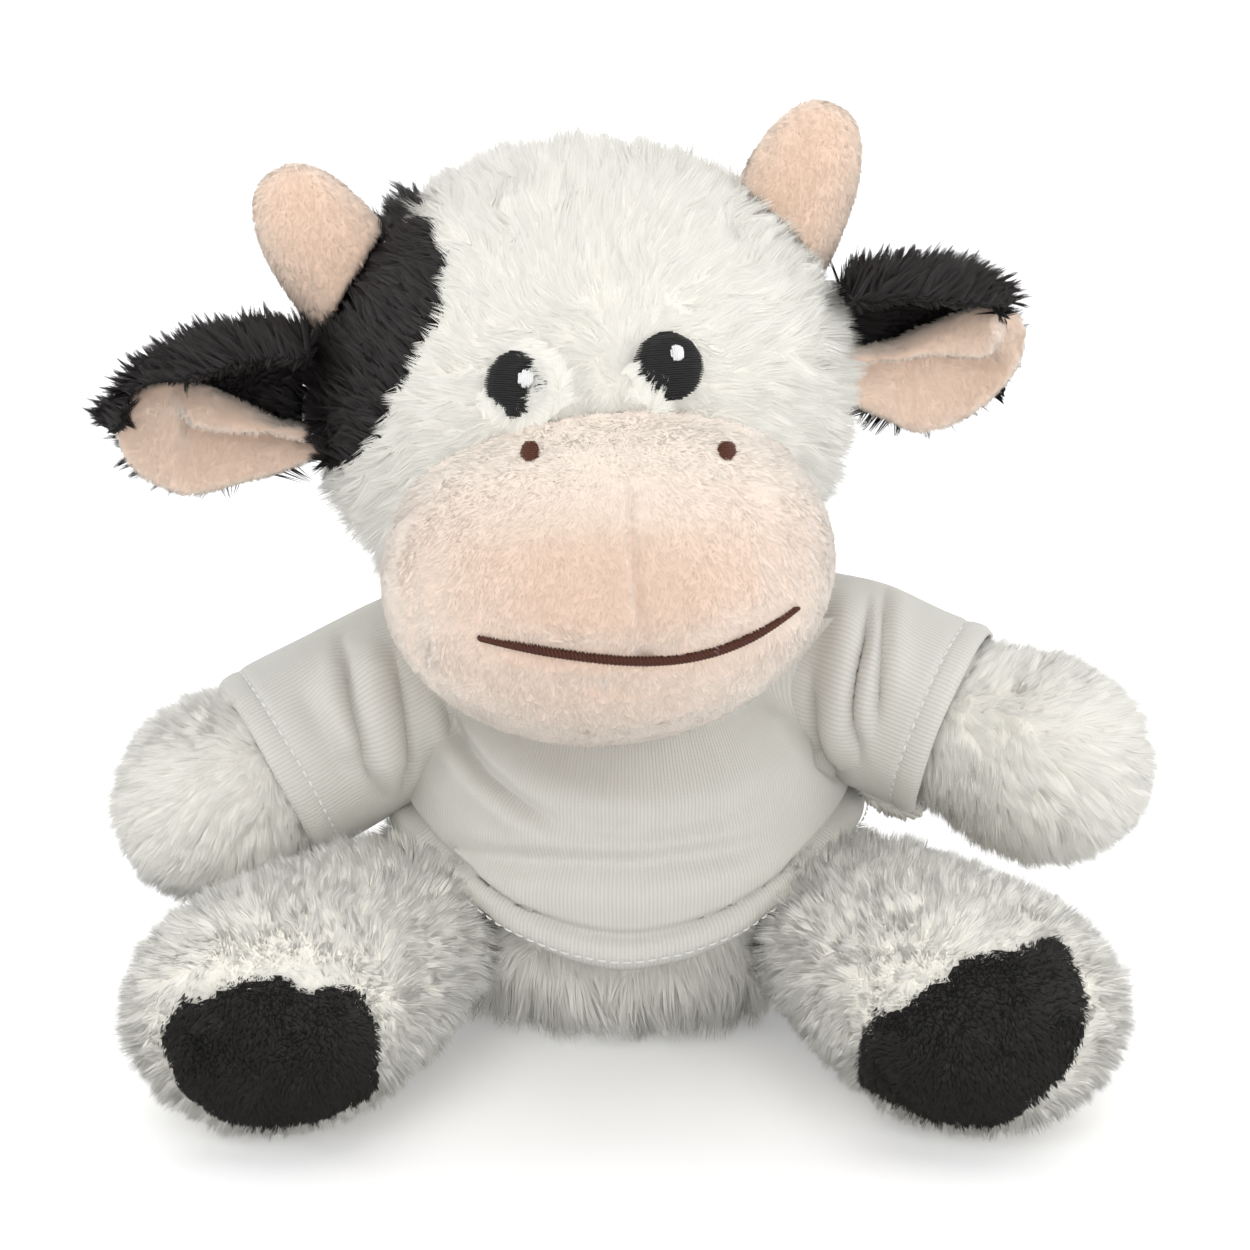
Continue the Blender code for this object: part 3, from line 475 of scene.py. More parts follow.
# the muzzle's top gets a painted light
muzzleTopLight = {"low": muzzleTop - 0.020, "high": muzzleTop - 0.004, "colour": (0.88, 0.77, 0.67)}
muzzleCloth, muzzlePile = napped("muzzle", muzzleTopLight)
velboaCloth, velboaPile = napped("velboa")
hornCloth, hornPile = napped("horn")
jersey = knitMaterial("jersey", (0.665, 0.655, 0.612), 0.00066, 0.13)
blackThread = clothMaterial("blackThread", (0.005, 0.0045, 0.005), 0.45, 1500.0, 0.3, 0.2, 0.3)
whiteThread = clothMaterial("whiteThread", (0.80, 0.80, 0.80), 0.45, 1500.0, 0.1, 0.2, 0.4)
brownThread = clothMaterial("brownThread", (0.088, 0.026, 0.013), 0.6, 1500.0, 0.5)
mouthThread = clothMaterial("mouthThread", (0.070, 0.021, 0.012), 0.6, 1500.0, 0.5)
shirtThread = clothMaterial("shirtThread", (0.78, 0.79, 0.78), 0.6, 1500.0, 0.1)
tabSatin = clothMaterial("tabSatin", (0.86, 0.85, 0.82), 0.7, 700.0, 0.06, 0.15, 0.2)
print("materials made")


def gridFaces(rows, columns, closed):
    left = np.arange(rows * columns).reshape(rows, columns)
    right = np.roll(left, -1, axis=1)
    if not closed:
        left, right = left[:, :-1], right[:, :-1]
    return np.stack([left[:-1], right[:-1], right[1:], left[1:]], axis=-1).reshape(-1, 4)


def quadMesh(name, points, rows, columns, closed):
    quads = gridFaces(rows, columns, closed)
    return toMesh(name, points.reshape(-1, 3), quads.ravel(), np.arange(len(quads)) * 4)


def gridNormals(points, closed):
    if closed:
        acrossStep = np.roll(points, -1, axis=1) - np.roll(points, 1, axis=1)
    else:
        acrossStep = np.gradient(points, axis=1)
    return unit(np.cross(acrossStep, np.gradient(points, axis=0)))


def blurGrid(values, passes, closed):
    for _ in range(passes):
        wide = np.pad(values, ((0, 0), (1, 1)), mode="wrap" if closed else "edge")
        values = (wide[:, :-2] + 2 * wide[:, 1:-1] + wide[:, 2:]) / 4
        tall = np.pad(values, ((1, 1), (0, 0)), mode="edge")
        values = (tall[:-2] + 2 * tall[1:-1] + tall[2:]) / 4
    return values


def dropVerts(mesh, drop):
    build = bmesh.new()
    build.from_mesh(mesh)
    build.verts.ensure_lookup_table()
    bmesh.ops.delete(build, geom=[v for v in build.verts if drop[v.index]], context="VERTS")
    build.to_mesh(mesh)
    build.free()


def keepLargest(mesh):
    # every vertex takes the lowest number that it is joined to
    ends = np.empty(len(mesh.edges) * 2, np.int32)
    mesh.edges.foreach_get("vertices", ends)
    first, second = ends.reshape(-1, 2).T
    label = np.arange(len(mesh.vertices))
    while (label[first] != label[second]).any():
        low = np.minimum(label[first], label[second])
        np.minimum.at(label, first, low)
        np.minimum.at(label, second, low)
        label = label[label]
    dropVerts(mesh, label != np.bincount(label).argmax())


def hideOf(name, nodes, material, voxel=0.0013, passes=8, inset=0.0):
    # the cloth under the pile: an even, softened skin round these nodes
    build = nodeMesh(nodes)
    raw = bpy.data.meshes.new(name)
    build.to_mesh(raw)
    build.free()
    piece = bpy.data.objects.new(name, raw)
    scene.collection.objects.link(piece)
    even = piece.modifiers.new("even", "REMESH")
    even.mode = "VOXEL"
    even.voxel_size = voxel
    even.use_smooth_shade = True
    soft = piece.modifiers.new("soft", "SMOOTH")
    soft.factor = 0.5
    soft.iterations = passes
    mesh = settle(piece)
    keepLargest(mesh)
    movePoints(mesh, toArray(mesh) - normalsOf(mesh) * inset)
    dress(mesh, material)
    return piece


def pelt(piece):
    mesh = piece.data
    mesh.calc_loop_triangles()
    tris = np.empty(len(mesh.loop_triangles) * 3, np.int32)
    mesh.loop_triangles.foreach_get("vertices", tris)
    points = toArray(mesh)
    return {
        "points": points,
        "normals": normalsOf(mesh),
        "tris": tris.reshape(-1, 3),
        "density": np.ones(len(points)),
        "size": np.ones(len(points)),
        "comb": np.zeros((len(points), 3)),
    }


def coverOf(name, hide, chosen, thickness, lift, material):
    # a second cloth over the chosen part of a hide
    build = bmesh.new()
    build.from_mesh(hide.data)
    build.verts.ensure_lookup_table()
    bmesh.ops.delete(build, geom=[v for v in build.verts if not chosen[v.index]], context="VERTS")
    for vert in build.verts:
        vert.co += vert.normal * lift
    mesh = bpy.data.meshes.new(name)
    build.to_mesh(mesh)
    build.free()
    piece = addPiece(name, mesh, material)
    thicken(piece, thickness)
    return piece


quality = 1.0


def growFur(name, hide, body, fur, material, seed):
    rng = np.random.default_rng(seed)
    count = int(fur["strands"] * quality)
    tris, points = hide["tris"], hide["points"]
    edgeA = points[tris[:, 1]] - points[tris[:, 0]]
    edgeB = points[tris[:, 2]] - points[tris[:, 0]]
    weight = np.linalg.norm(np.cross(edgeA, edgeB), axis=1) * hide["density"][tris].mean(axis=1)
    pick = np.searchsorted(np.cumsum(weight), rng.random(count) * weight.sum())
    pick = np.minimum(pick, len(tris) - 1)
    shareB, shareC = rng.random((2, count))
    over = shareB + shareC > 1
    shareB[over], shareC[over] = 1 - shareB[over], 1 - shareC[over]
    shares = np.stack([1 - shareB - shareC, shareB, shareC], axis=1)[:, :, None]
    root = (points[tris[pick]] * shares).sum(axis=1)
    normal = unit((hide["normals"][tris[pick]] * shares).sum(axis=1))
    comb = (hide["comb"][tris[pick]] * shares).sum(axis=1)
    size = (hide["size"][tris[pick]] * shares[:, :, 0]).sum(axis=1)
    comb = comb + softNoise(root, fur["swirlSize"], seed) * fur["swirl"]
    comb = comb + softNoise(root, fur["swirlSize"] * 0.35, seed + 1) * fur["swirl"] * 0.8
    along = unit(comb - normal * dots(comb, normal))
    clumps = max(4, count // fur["perClump"])
    tree = kdtree.KDTree(clumps)
    for index, spot in enumerate(root[:clumps].tolist()):
        tree.insert(spot, index)
    tree.balance()
    leader = np.fromiter((tree.find(spot)[1] for spot in root.tolist()), int, count)
    clumpSize = rng.uniform(0.82, 1.12, clumps)[leader]
    clumpRise = rng.normal(0, fur["riseVary"], clumps)[leader]
    rise = math.radians(fur["rise"]) + clumpRise + rng.normal(0, 0.12, count)
    rise = rise[:, None]
    length = (fur["length"] * size * clumpSize * rng.uniform(0.75, 1.08, count))[:, None]
    tip = root + length * (normal * np.sin(rise) + along * np.cos(rise))
    tip = tip + (tip[leader] - tip) * fur["clump"]
    # each fibre is a slender three-sided spike
    way = unit(tip - root)
    side = unit(np.cross(way, rng.normal(0, 1, (count, 3))))
    other = np.cross(way, side)
    thick = (fur["width"] * rng.uniform(0.8, 1.2, count))[:, None] * 0.5
    turns = (0, math.tau / 3, -math.tau / 3)
    foot = [root + thick * (side * math.cos(turn) + other * math.sin(turn)) for turn in turns]
    spots = np.stack([*foot, tip], axis=1)
    spots[..., 2] = np.maximum(spots[..., 2], 0.0002 + 0.0003 * rng.random((count, 1)))
    base = (np.arange(count) * 4)[:, None]
    corners = (base + np.array([[0, 1, 3, 1, 2, 3, 2, 0, 3]])).ravel()
    mesh = toMesh(name, spots.reshape(-1, 3), corners, np.arange(count * 3) * 3)
    # its light comes from the hide and from its place in the tuft
    away = (root - root[leader]) / (np.abs(root - root[leader]).max() * 0.5 + 1e-9)
    lean = unit(normal + away * fur["roundness"] + along * 0.15 + rng.normal(0, 0.07, (count, 3)))
    light = np.repeat(lean[:, None, :], 4, axis=1).reshape(-1, 3)
    custom = mesh.attributes.new("custom_normal", "FLOAT_VECTOR", "POINT")
    custom.data.foreach_set("vector", light.astype(np.float32).ravel())
    layer = mesh.uv_layers.new(name="OFBake")
    tone = 0.55 * rng.random(clumps)[leader] + 0.45 * rng.random(count)
    across = np.repeat(tone, 9)
    upward = np.tile(np.array([0, 0, 1.0, 0, 0, 1.0, 0, 0, 1.0]), count)
    layer.data.foreach_set("uv", np.stack([across, upward], axis=1).astype(np.float32).ravel())
    piece = addPiece(name, mesh, material)
    piece.visible_shadow = fur.get("shades", True)  # pale fibres scatter light and hardly shade each other
    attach(piece, body)
    print(" ", name, count, "strands")
    return piece


def furredForm(name, nodes, backing, shape, furName, body, fur, material, comb, seed):
    form = hideOf(name, nodes, backing, **shape)
    coat = pelt(form)
    coat["comb"][:] = comb
    growFur(furName, coat, body, fur, material, seed)
    declare(form, body, nodes)


def farShare(points, spot, low, high):
    return ramp(np.linalg.norm(points - spot, axis=1), low, high)


# the head: one stuffed ball, with its dark patch at the left ear
headSizes = {"sink": 0.0024, "length": 0.0056, "width": 0.00019, "strands": 66000, "facing": 0.2,
             "hornReach": 0.012, "eyeShort": (0.007, 0.014), "eyeOpen": (0.0048, 0.0056),
             "patchShort": (-30, -6)}
patchSizes = {"length": 0.0080, "width": 0.00026, "strands": 26000, "backing": 0.0004,
              "comb": (-0.75, 0.1, 0.55), "rootComb": (-0.6, -0.5, -0.85), "rootSpot": (308, 440),
              "rootReach": (18, 44)}
wispSizes = {"length": 0.0030, "width": 0.00019, "strands": 9000, "reach": 0.0072, "lift": 0.0003}
white = {"rise": 54, "riseVary": 0.24, "swirl": 0.95, "swirlSize": 0.009, "clump": 0.44, "perClump": 28,
         "roundness": 0.45, "shades": False}
black = dict(white, width=patchSizes["width"], rise=36, riseVary=0.2, swirl=0.45, clump=0.72, perClump=18,
             roundness=0.6, shades=True)
patchOutline = [(376, 211), (391, 206), (412, 214), (429, 206), (429, 232), (442, 250), (435, 270),
                (437, 293), (432, 319), (414, 339), (404, 364), (399, 382), (386, 390), (384, 403),
                (373, 428), (356, 451), (338, 467), (320, 469), (280, 478), (230, 480), (230, 200)]
browMiddle = (0.0015, -0.0440, 0.1200)  # the pile parts here, above and between the eyes
headNodes = ["head_skin", "head_filling", "head_patch"]
headHide = hideOf("headHide", headNodes, whiteBacking, inset=headSizes["sink"])
headPelt = pelt(headHide)
spots = headPelt["points"] + headPelt["normals"] * headSizes["sink"]
seesCamera = facingCamera(spots, headPelt["normals"])
patchGap = outlineGap(spots, headPelt["normals"], patchOutline, headSizes["facing"])
isPatch = distanceTo(spots, "head_patch") < distanceTo(spots, "head_skin")
isPatch = np.where(seesCamera > headSizes["facing"], patchGap > 0, isPatch)
blocked = insideNode(spots, "muzzle_skin") & (spots[:, 1] < 0)
for horn in ("left_horn_skin", "right_horn_skin"):
    blocked |= insideNode(spots, horn) & (distanceTo(spots, horn) < headSizes["hornReach"])
outwardFace = unit(spots - boxMiddle("head_skin"))
muzzleMiddle = boxMiddle("muzzle_skin")
headPelt["comb"] = unit(spots - browMiddle) + (0, 0, -0.12)
headPelt["comb"] += np.array([0.1, 0, -1.0]) * ramp(outwardFace[:, 1], 0.0, 0.6)[:, None]
headPelt["density"] = np.where(blocked | isPatch, 0.0, 1.0)
eyesAt = {"left": boxMiddle("left_eye"), "right": boxMiddle("right_eye")}
for eyeAt in eyesAt.values():
    headPelt["size"] *= 0.62 + 0.38 * farShare(spots, eyeAt, *headSizes["eyeShort"])
    headPelt["density"] *= farShare(spots, eyeAt, *headSizes["eyeOpen"])
headPelt["size"] *= 1 - 0.5 * ramp(patchGap, *headSizes["patchShort"])
frontShare = ramp(-outwardFace[:, 1], -0.35, 0.05)
for part, share, seed in (("Front", frontShare, 11), ("Back", 1 - frontShare, 12)):
    some = dict(headPelt, density=headPelt["density"] * share)
    growFur("headFur" + part, some, "head", white | headSizes, whiteFurCloth, seed)
patchPelt = dict(headPelt, density=np.where(isPatch & ~blocked, 1, 0))
rootShare = 1 - farShare(toPixels(spots), patchSizes["rootSpot"], *patchSizes["rootReach"])
rootShare = (rootShare * (seesCamera > 0.0))[:, None]
patchPelt["comb"] = np.array(patchSizes["rootComb"]) * rootShare + patchSizes["comb"]
growFur("patchFur", patchPelt, "head", black | patchSizes, blackFurCloth, 13)
# the pile falls over one side of each eye
eyeOutlines = {  # what shows of each eye, in pixels
    "left": [(483, 383), (486, 368), (494, 356), (505, 350), (512, 351), (524, 355), (531, 360), (524, 366),
             (520, 375), (519, 386), (523, 392), (520, 398), (523, 404), (524, 412), (516, 415), (510, 414),
             (506, 405), (500, 402), (496, 397), (489, 396), (485, 392)],
    "right": [(638, 369), (646, 350), (660, 339), (676, 336), (693, 344), (702, 357), (704, 372),
              (698, 386), (690, 397), (680, 399), (668, 397), (664, 392), (671, 377), (660, 385),
              (654, 388), (652, 383), (657, 375), (646, 379), (639, 376)],
}
wisps = [  # eye, bearing from its middle in degrees, half spread, gap to what shows in pixels, lie in degrees
    ("left", 0, 76, 6, 182), ("left", 236, 40, 6, 56), ("right", 206, 24, 4, 30), ("right", 246, 20, 4, 52),
]
wispPelt = dict(headPelt, points=spots + headPelt["normals"] * wispSizes["lift"], size=np.ones(len(spots)),
                density=np.zeros(len(spots)), comb=np.zeros(spots.shape))
for side, bearing, spread, clear, lie in wisps:
    arm = spots - eyesAt[side]
    turn = np.degrees(np.arctan2(arm[:, 2], arm[:, 0])) - bearing
    turn = np.abs((turn + 180) % 360 - 180)
    shown = insideOutline(toPixels(spots), eyeOutlines[side])
    chosen = (np.linalg.norm(arm, axis=1) < wispSizes["reach"]) & (turn < spread) & (shown < -clear)
    chosen &= seesCamera > headSizes["facing"]
    wispPelt["density"] += chosen
    lying = np.array([math.cos(math.radians(lie)), 0, math.sin(math.radians(lie))])
    wispPelt["comb"] += np.where(chosen[:, None], lying, 0)
wispFur = dict(white, rise=22, riseVary=0.1, swirl=0.6, clump=0.35, perClump=22) | wispSizes
growFur("eyeWisps", wispPelt, "head", wispFur, whiteFurCloth, 14)
declare(headHide, "head", headNodes)
# the patch's own backing cloth lies over the ball
patchHide = coverOf("patchHide", headHide, isPatch, patchSizes["backing"], 0.0, blackBacking)
declare(patchHide, "head", ["head_patch"])
print("head made")

# the limbs
armSizes = {
    "left": {"sink": 0.0018, "length": 0.0054, "from": 0.0325, "strands": 42000, "roundness": 0.34},
    "right": {"sink": 0.0018, "length": 0.0054, "from": 0.0250, "strands": 42000, "roundness": 0.34},
}
legSizes = {"sink": 0.0015, "length": 0.0050, "from": -0.010, "strands": 65000, "fullAbove": 0.027,
            "fullTo": (0.020, 0.034), "roundness": 0.55}
soleOutlines = {
    "left": [(162, 1037), (182, 1000), (199, 1006), (222, 990), (245, 982), (282, 978), (297, 989),
             (312, 1000), (319, 986), (356, 991), (374, 1022), (376, 1078), (363, 1119), (319, 1132),
             (267, 1130), (219, 1115), (182, 1089)],
    "right": [(861, 1074), (863, 1038), (877, 1015), (897, 1013), (920, 996), (934, 982), (945, 981),
              (956, 965), (981, 954), (1009, 953), (1032, 948), (1049, 937), (1065, 951), (1077, 973),
              (1084, 1007), (1082, 1035), (1071, 1063), (1049, 1088), (1021, 1111), (987, 1128),
              (953, 1135), (931, 1139), (908, 1135), (886, 1122), (866, 1102)],
}
shoulders = {"left": (-0.03024, 0, 0.05913), "right": (0.03024, 0, 0.06059)}
hips = {"left": (-0.03096, -0.00468, 0.0185), "right": (0.03096, -0.00468, 0.0185)}
soleSizes = {"length": 0.0023, "width": 0.00020, "strands": 30000, "rise": 60, "riseVary": 0.25, "swirl": 1.0,
             "swirlSize": 0.006, "clump": 0.45, "perClump": 12, "roundness": 0.5, "cloth": 0.0005,
             "lift": 0.0013, "pileLift": 0.0016, "facing": 0.15, "comb": (0.0, -0.2, -0.6)}
# pixels inside the sole's outline
soleEdges = {"bare": (1, 5), "short": (-40, -8), "combed": (-30, 0), "cloth": -3, "pile": (-1, 3)}
bodyFur = dict(white, width=0.00024, perClump=34, clump=0.32, riseVary=0.12, swirl=0.7)


def limb(name, body, nodes, root, dims, seed):
    hide = hideOf(name + "Hide", nodes, whiteBacking, inset=dims["sink"])
    coat = pelt(hide)
    outer = coat["points"] + coat["normals"] * dims["sink"]
    axis = unit(outer.mean(axis=0) - root)
    coat["comb"][:] = axis * 0.8 + (0, 0, -0.35)
    reach = (outer - root) @ axis
    coat["density"] = ramp(reach, dims["from"], dims["from"] + 0.002)
    sole = None
    if "sole" in dims:
        sole = outlineGap(outer, coat["normals"], dims["sole"], soleSizes["facing"])
        coat["density"] *= 1 - ramp(sole, *soleEdges["bare"])
        coat["size"] *= 1 - 0.45 * ramp(sole, *soleEdges["short"])
        coat["comb"] += np.array([0, -0.3, 0.35]) * ramp(-sole, *soleEdges["combed"])[:, None]
    if "fullAbove" in dims:
        high = ramp(outer[:, 2], dims["fullAbove"], dims["fullAbove"] + 0.008)
        coat["size"] *= 1 + 0.35 * high * (1 - ramp(reach, *dims["fullTo"]))
    growFur(name + "Fur", coat, body, bodyFur | dims, whiteFurCloth, seed)
    declare(hide, body, nodes)
    return hide, coat, sole


for number, side in enumerate(("left", "right")):
    limb(side + "Arm", side + "_arm", [side + "_arm_skin", side + "_arm_filling"], shoulders[side],
         armSizes[side], 21 + number)
    leg, coat, sole = limb(side + "Leg", side + "_leg",
                           [side + "_leg_skin", side + "_leg_filling", side + "_foot_sole"],
                           hips[side], dict(legSizes, sole=soleOutlines[side]), 31 + number)
    # the sole is a dark cloth of its own, with a short dense pile
    cover = coverOf(side + "Sole", leg, sole > soleEdges["cloth"], soleSizes["cloth"], soleSizes["lift"],
                    blackBacking)
    coat["points"] = coat["points"] + coat["normals"] * soleSizes["pileLift"]
    coat["comb"][:] = soleSizes["comb"]
    coat["density"] = ramp(sole, *soleEdges["pile"])
    growFur(side + "SolePile", coat, side + "_leg", soleSizes, solePile, 41 + number)
    declare(cover, side + "_leg", [side + "_foot_sole"])
print("limbs and soles made")

# the muzzle: short-napped cloth over a soft form
muzzleSizes = {"length": 0.0011, "width": 0.00018, "strands": 80000, "rise": 32, "riseVary": 0.10,
               "swirl": 0.35, "swirlSize": 0.006, "clump": 0.10, "perClump": 10, "roundness": 0.05,
               "shades": False, "apart": 0.0016, "tuck": 0.0026, "tuckFrom": (0.0008, 0.0014),
               "cloth": 0.0009}
# the seam, the mouth's pulled-in line, the dimple and the chin's crease
muzzleLines = [
    ([(629, 468), (631, 520), (636, 580), (645, 655)], 3.4, -0.0010),
    ([(645, 648), (646, 668)], 7, -0.0009),
    ([(478, 636), (560, 653), (645, 660), (725, 645), (797, 606)], 10, -0.0009),
    ([(412, 612), (419, 668)], 10, -0.0012),
    ([(540, 694), (610, 686), (690, 694)], 8, -0.0005),
    ([(490, 600), (560, 618), (610, 620)], 22, 0.0007),
    ([(680, 618), (740, 600), (780, 580)], 22, 0.0007),
]
muzzleHide = hideOf("muzzleHide", ["muzzle_skin", "head_filling", "head_skin"], muzzleCloth,
                    voxel=0.0009, passes=9)
dropVerts(muzzleHide.data, distanceTo(toArray(muzzleHide.data), "muzzle_skin") > muzzleSizes["apart"])
points, normals = toArray(muzzleHide.data), normalsOf(muzzleHide.data)
# its edge is tucked under the head's pile
tucked = ramp(distanceTo(points, "muzzle_skin"), *muzzleSizes["tuckFrom"])
tucked *= insideNode(points - normals * 0.0015, "head_skin", "head_filling")
rise = foldHeight(points, normals, muzzleLines) - muzzleSizes["tuck"] * tucked
movePoints(muzzleHide.data, points + normals * rise[:, None])
thicken(muzzleHide, muzzleSizes["cloth"], -1.0)
coat = pelt(muzzleHide)
outward = unit(coat["points"] - muzzleMiddle)
coat["comb"] = outward * 0.4 + (0.0, 0.1, -0.6)
coat["density"] = (dots(outward, coat["normals"])[:, 0] > 0.2) * 1.0
growFur("muzzleNap", coat, "head", muzzleSizes, muzzlePile, 51)
declare(muzzleHide, "head", ["muzzle_skin"])
print("muzzle made")

# horns and ears
hornNap = dict(length=0.0011, width=0.00015, rise=32, riseVary=0.1, swirl=0.8, swirlSize=0.004, clump=0.3,
               perClump=10, roundness=0.25, shades=False, strands=16000)
earFur = dict(black, strands=26000, rise=44, clump=0.80, perClump=14, length=0.0062)
earSizes = {
    # the lining's cross-section from its upper edge over the fold into the pocket and round the lower lip:
    # place (0 upper edge, 1 edge of the fold, 2 lower edge) and height towards the viewer in metres
    "folded": [(0.12, -0.0018), (-0.02, -0.0004), (0.02, 0.0010), (0.25, 0.0026), (0.60, 0.0038),
               (0.92, 0.0038), (1.06, 0.0027), (0.90, 0.0015), (0.55, 0.0004), (0.70, -0.0012),
               (0.98, -0.0019), (1.18, -0.0016), (1.40, -0.0007), (1.62, 0.0006), (1.82, 0.0014),
               (1.95, 0.0010), (2.00, -0.0002), (1.92, -0.0014)],
    "plain": [(0.12, -0.0018), (-0.02, -0.0006), (0.02, 0.0003), (0.20, 0.0008), (0.40, 0.0010),
              (0.60, 0.0011), (0.75, 0.0011), (0.85, 0.0010), (0.95, 0.0009), (1.05, 0.0008),
              (1.15, 0.0008), (1.28, 0.0008), (1.45, 0.0009), (1.62, 0.0010), (1.82, 0.0009),
              (1.95, 0.0005), (2.00, -0.0002), (1.92, -0.0014)],
    "forward": 0.0034,
    "rows": 64, "columns": 61, "cloth": 0.0008, "backInset": 0.0003, "backBehind": 0.0008,
    "keepIn": 5, "pullMost": 22,  # pixels inside the lining's outline, and the furthest that it pulls
}
earSides = {  # joint, lean of its face, end of the fold, then pixels: the fur's end, where it thins, the tip
    "left": {"joint": (-0.0541, -0.0058, 0.109), "lean": 0.30, "foldEnd": 0.68, "out": -1,
             "furEnd": 95, "thinAt": 150, "thin": (0.6, 0.05), "tip": 150},
    "right": {"joint": (0.0381, 0.0047, 0.118), "lean": -0.30, "foldEnd": 0.86, "out": 1,
              "furEnd": 1008, "thinAt": 906, "thin": (0.25, 0.01), "tip": 1000},
}
earLines = {  # upper edge, edge of the fold and lower edge, from head to tip, in pixels
    "left": ([(304, 434), (292, 430), (281, 424), (265, 414), (250, 406.5), (223, 394), (205, 385.5),
              (180, 382), (165, 381.5), (147, 386), (131, 395), (123, 410), (119, 432)],
             [(306, 432), (292, 428), (262, 428), (250, 428), (225, 426.5), (205, 423), (185, 418),
              (171, 411), (158, 410), (142, 415), (128, 424), (119, 434)],
             [(320, 456), (306, 462), (294, 467), (270, 476), (241, 483), (214, 491.5), (187, 496),
              (165, 489.5), (142, 478), (125, 458), (119.5, 444), (119, 436)]),
    "right": ([(846, 352), (859, 350), (873, 346.5), (898, 341), (919, 329.5), (936, 323), (953, 316),
               (969, 309), (986, 306), (1002, 307), (1012, 311), (1021, 318), (1025, 330)],
              [(846, 355), (859, 354.5), (893, 354.5), (919, 348.5), (946, 349.5), (969, 352), (991, 349),
               (1006, 342), (1016, 336), (1025, 332)],
              [(846, 400), (858, 407), (873, 414), (890, 422), (906, 430.5), (919, 434), (943, 429),
               (963, 420.5), (982, 407), (1002, 389), (1016, 369), (1023, 351), (1025, 335)]),
}


def overEdge(pixels, side):
    # how many pixels a spot lies above the lining's upper edge
    tops = np.array(sorted(earLines[side][0]), float)
    past = earSides[side]["out"] * (pixels[:, 0] - earSides[side]["furEnd"])
    return np.where(past > 0, -past, np.interp(pixels[:, 0], tops[:, 0], tops[:, 1]) - pixels[:, 1])


def earBack(side, outline, inner, out, face, above):
    marks = earSides[side]
    back = hideOf(side + "EarBack", [side + "_ear_back"], blackBacking, voxel=0.0007, passes=4,
                  inset=earSizes["backInset"])
    # the cloth at the back keeps within the lining's outline below its upper edge
    points = toArray(back.data)
    pixels = toPixels(points)
    toHeart = np.array(outline).mean(axis=0) - pixels
    size = np.linalg.norm(toHeart, axis=1)
    pull = np.clip(earSizes["keepIn"] - insideOutline(pixels, outline), 0, earSizes["pullMost"])
    pull = pull * ramp(-overEdge(pixels, side), -2, 8)
    shift = toHeart / size[:, None] * np.minimum(pull, size * 0.9)[:, None]
    flat = shift * ((points - eyePoint) @ lookAlong / view["focal"])[:, None]
    points = points + flat[:, :1] * lookAcross - flat[:, 1:] * lookUp
    depth = (inner @ face).mean()
    proud = np.maximum(0, points @ face - (depth + earSizes["backBehind"]))
    proud = proud * ramp(-overEdge(pixels, side), -1, 4)
    movePoints(back.data, points - face * proud[:, None])
    coat = pelt(back)
    lift = inner @ above
    middleUp, halfUp = (lift.max() + lift.min()) / 2, (lift.max() - lift.min()) / 2
    raised = (coat["points"] @ above - middleUp) / halfUp
    spread = coat["points"] - np.outer(coat["points"] @ out, out) - middleUp * above - depth * face
    coat["comb"] = out * 0.35 + unit(spread) * 0.5 + above * 0.5 * ramp(raised, -0.3, 0.2)[:, None]
    pixels = toPixels(coat["points"])
    within = insideOutline(pixels, outline)
    overTop = overEdge(pixels, side)
    forward = coat["normals"] @ face
    coat["comb"] = np.where((forward > 0.1)[:, None], out * 0.35 + above, coat["comb"])
    sparse = np.where(pixels[:, 0] < marks["thinAt"], *marks["thin"])
    behind = np.where(overTop > 0, 1.0, np.where(within > 22, 0.6, sparse))
    coat["density"] = np.where(forward > 0.1, (overTop > 1) * 1.0, behind)
    coat["size"] = 1 - 0.6 * ramp(-overTop, -26, -6) * (forward > -0.1) * (overTop > 0)
    atTip = marks["out"] * (pixels[:, 0] - marks["tip"]) > 0
    underside = ramp(-(coat["normals"] @ above), 0.1, 0.4) * ((overTop > 0) | atTip) * (forward > -0.5)
    coat["size"] *= 1 - 0.7 * underside
    edgeOn = ramp(-overTop, -2, 4)[:, None]
    arm = coat["points"] - inner.mean(axis=0)
    flatOut = unit(arm - face * dots(arm, face))
    coat["comb"] = coat["comb"] * (1 - edgeOn) + (flatOut * 1.2 - face * 0.5) * edgeOn
    return back, coat


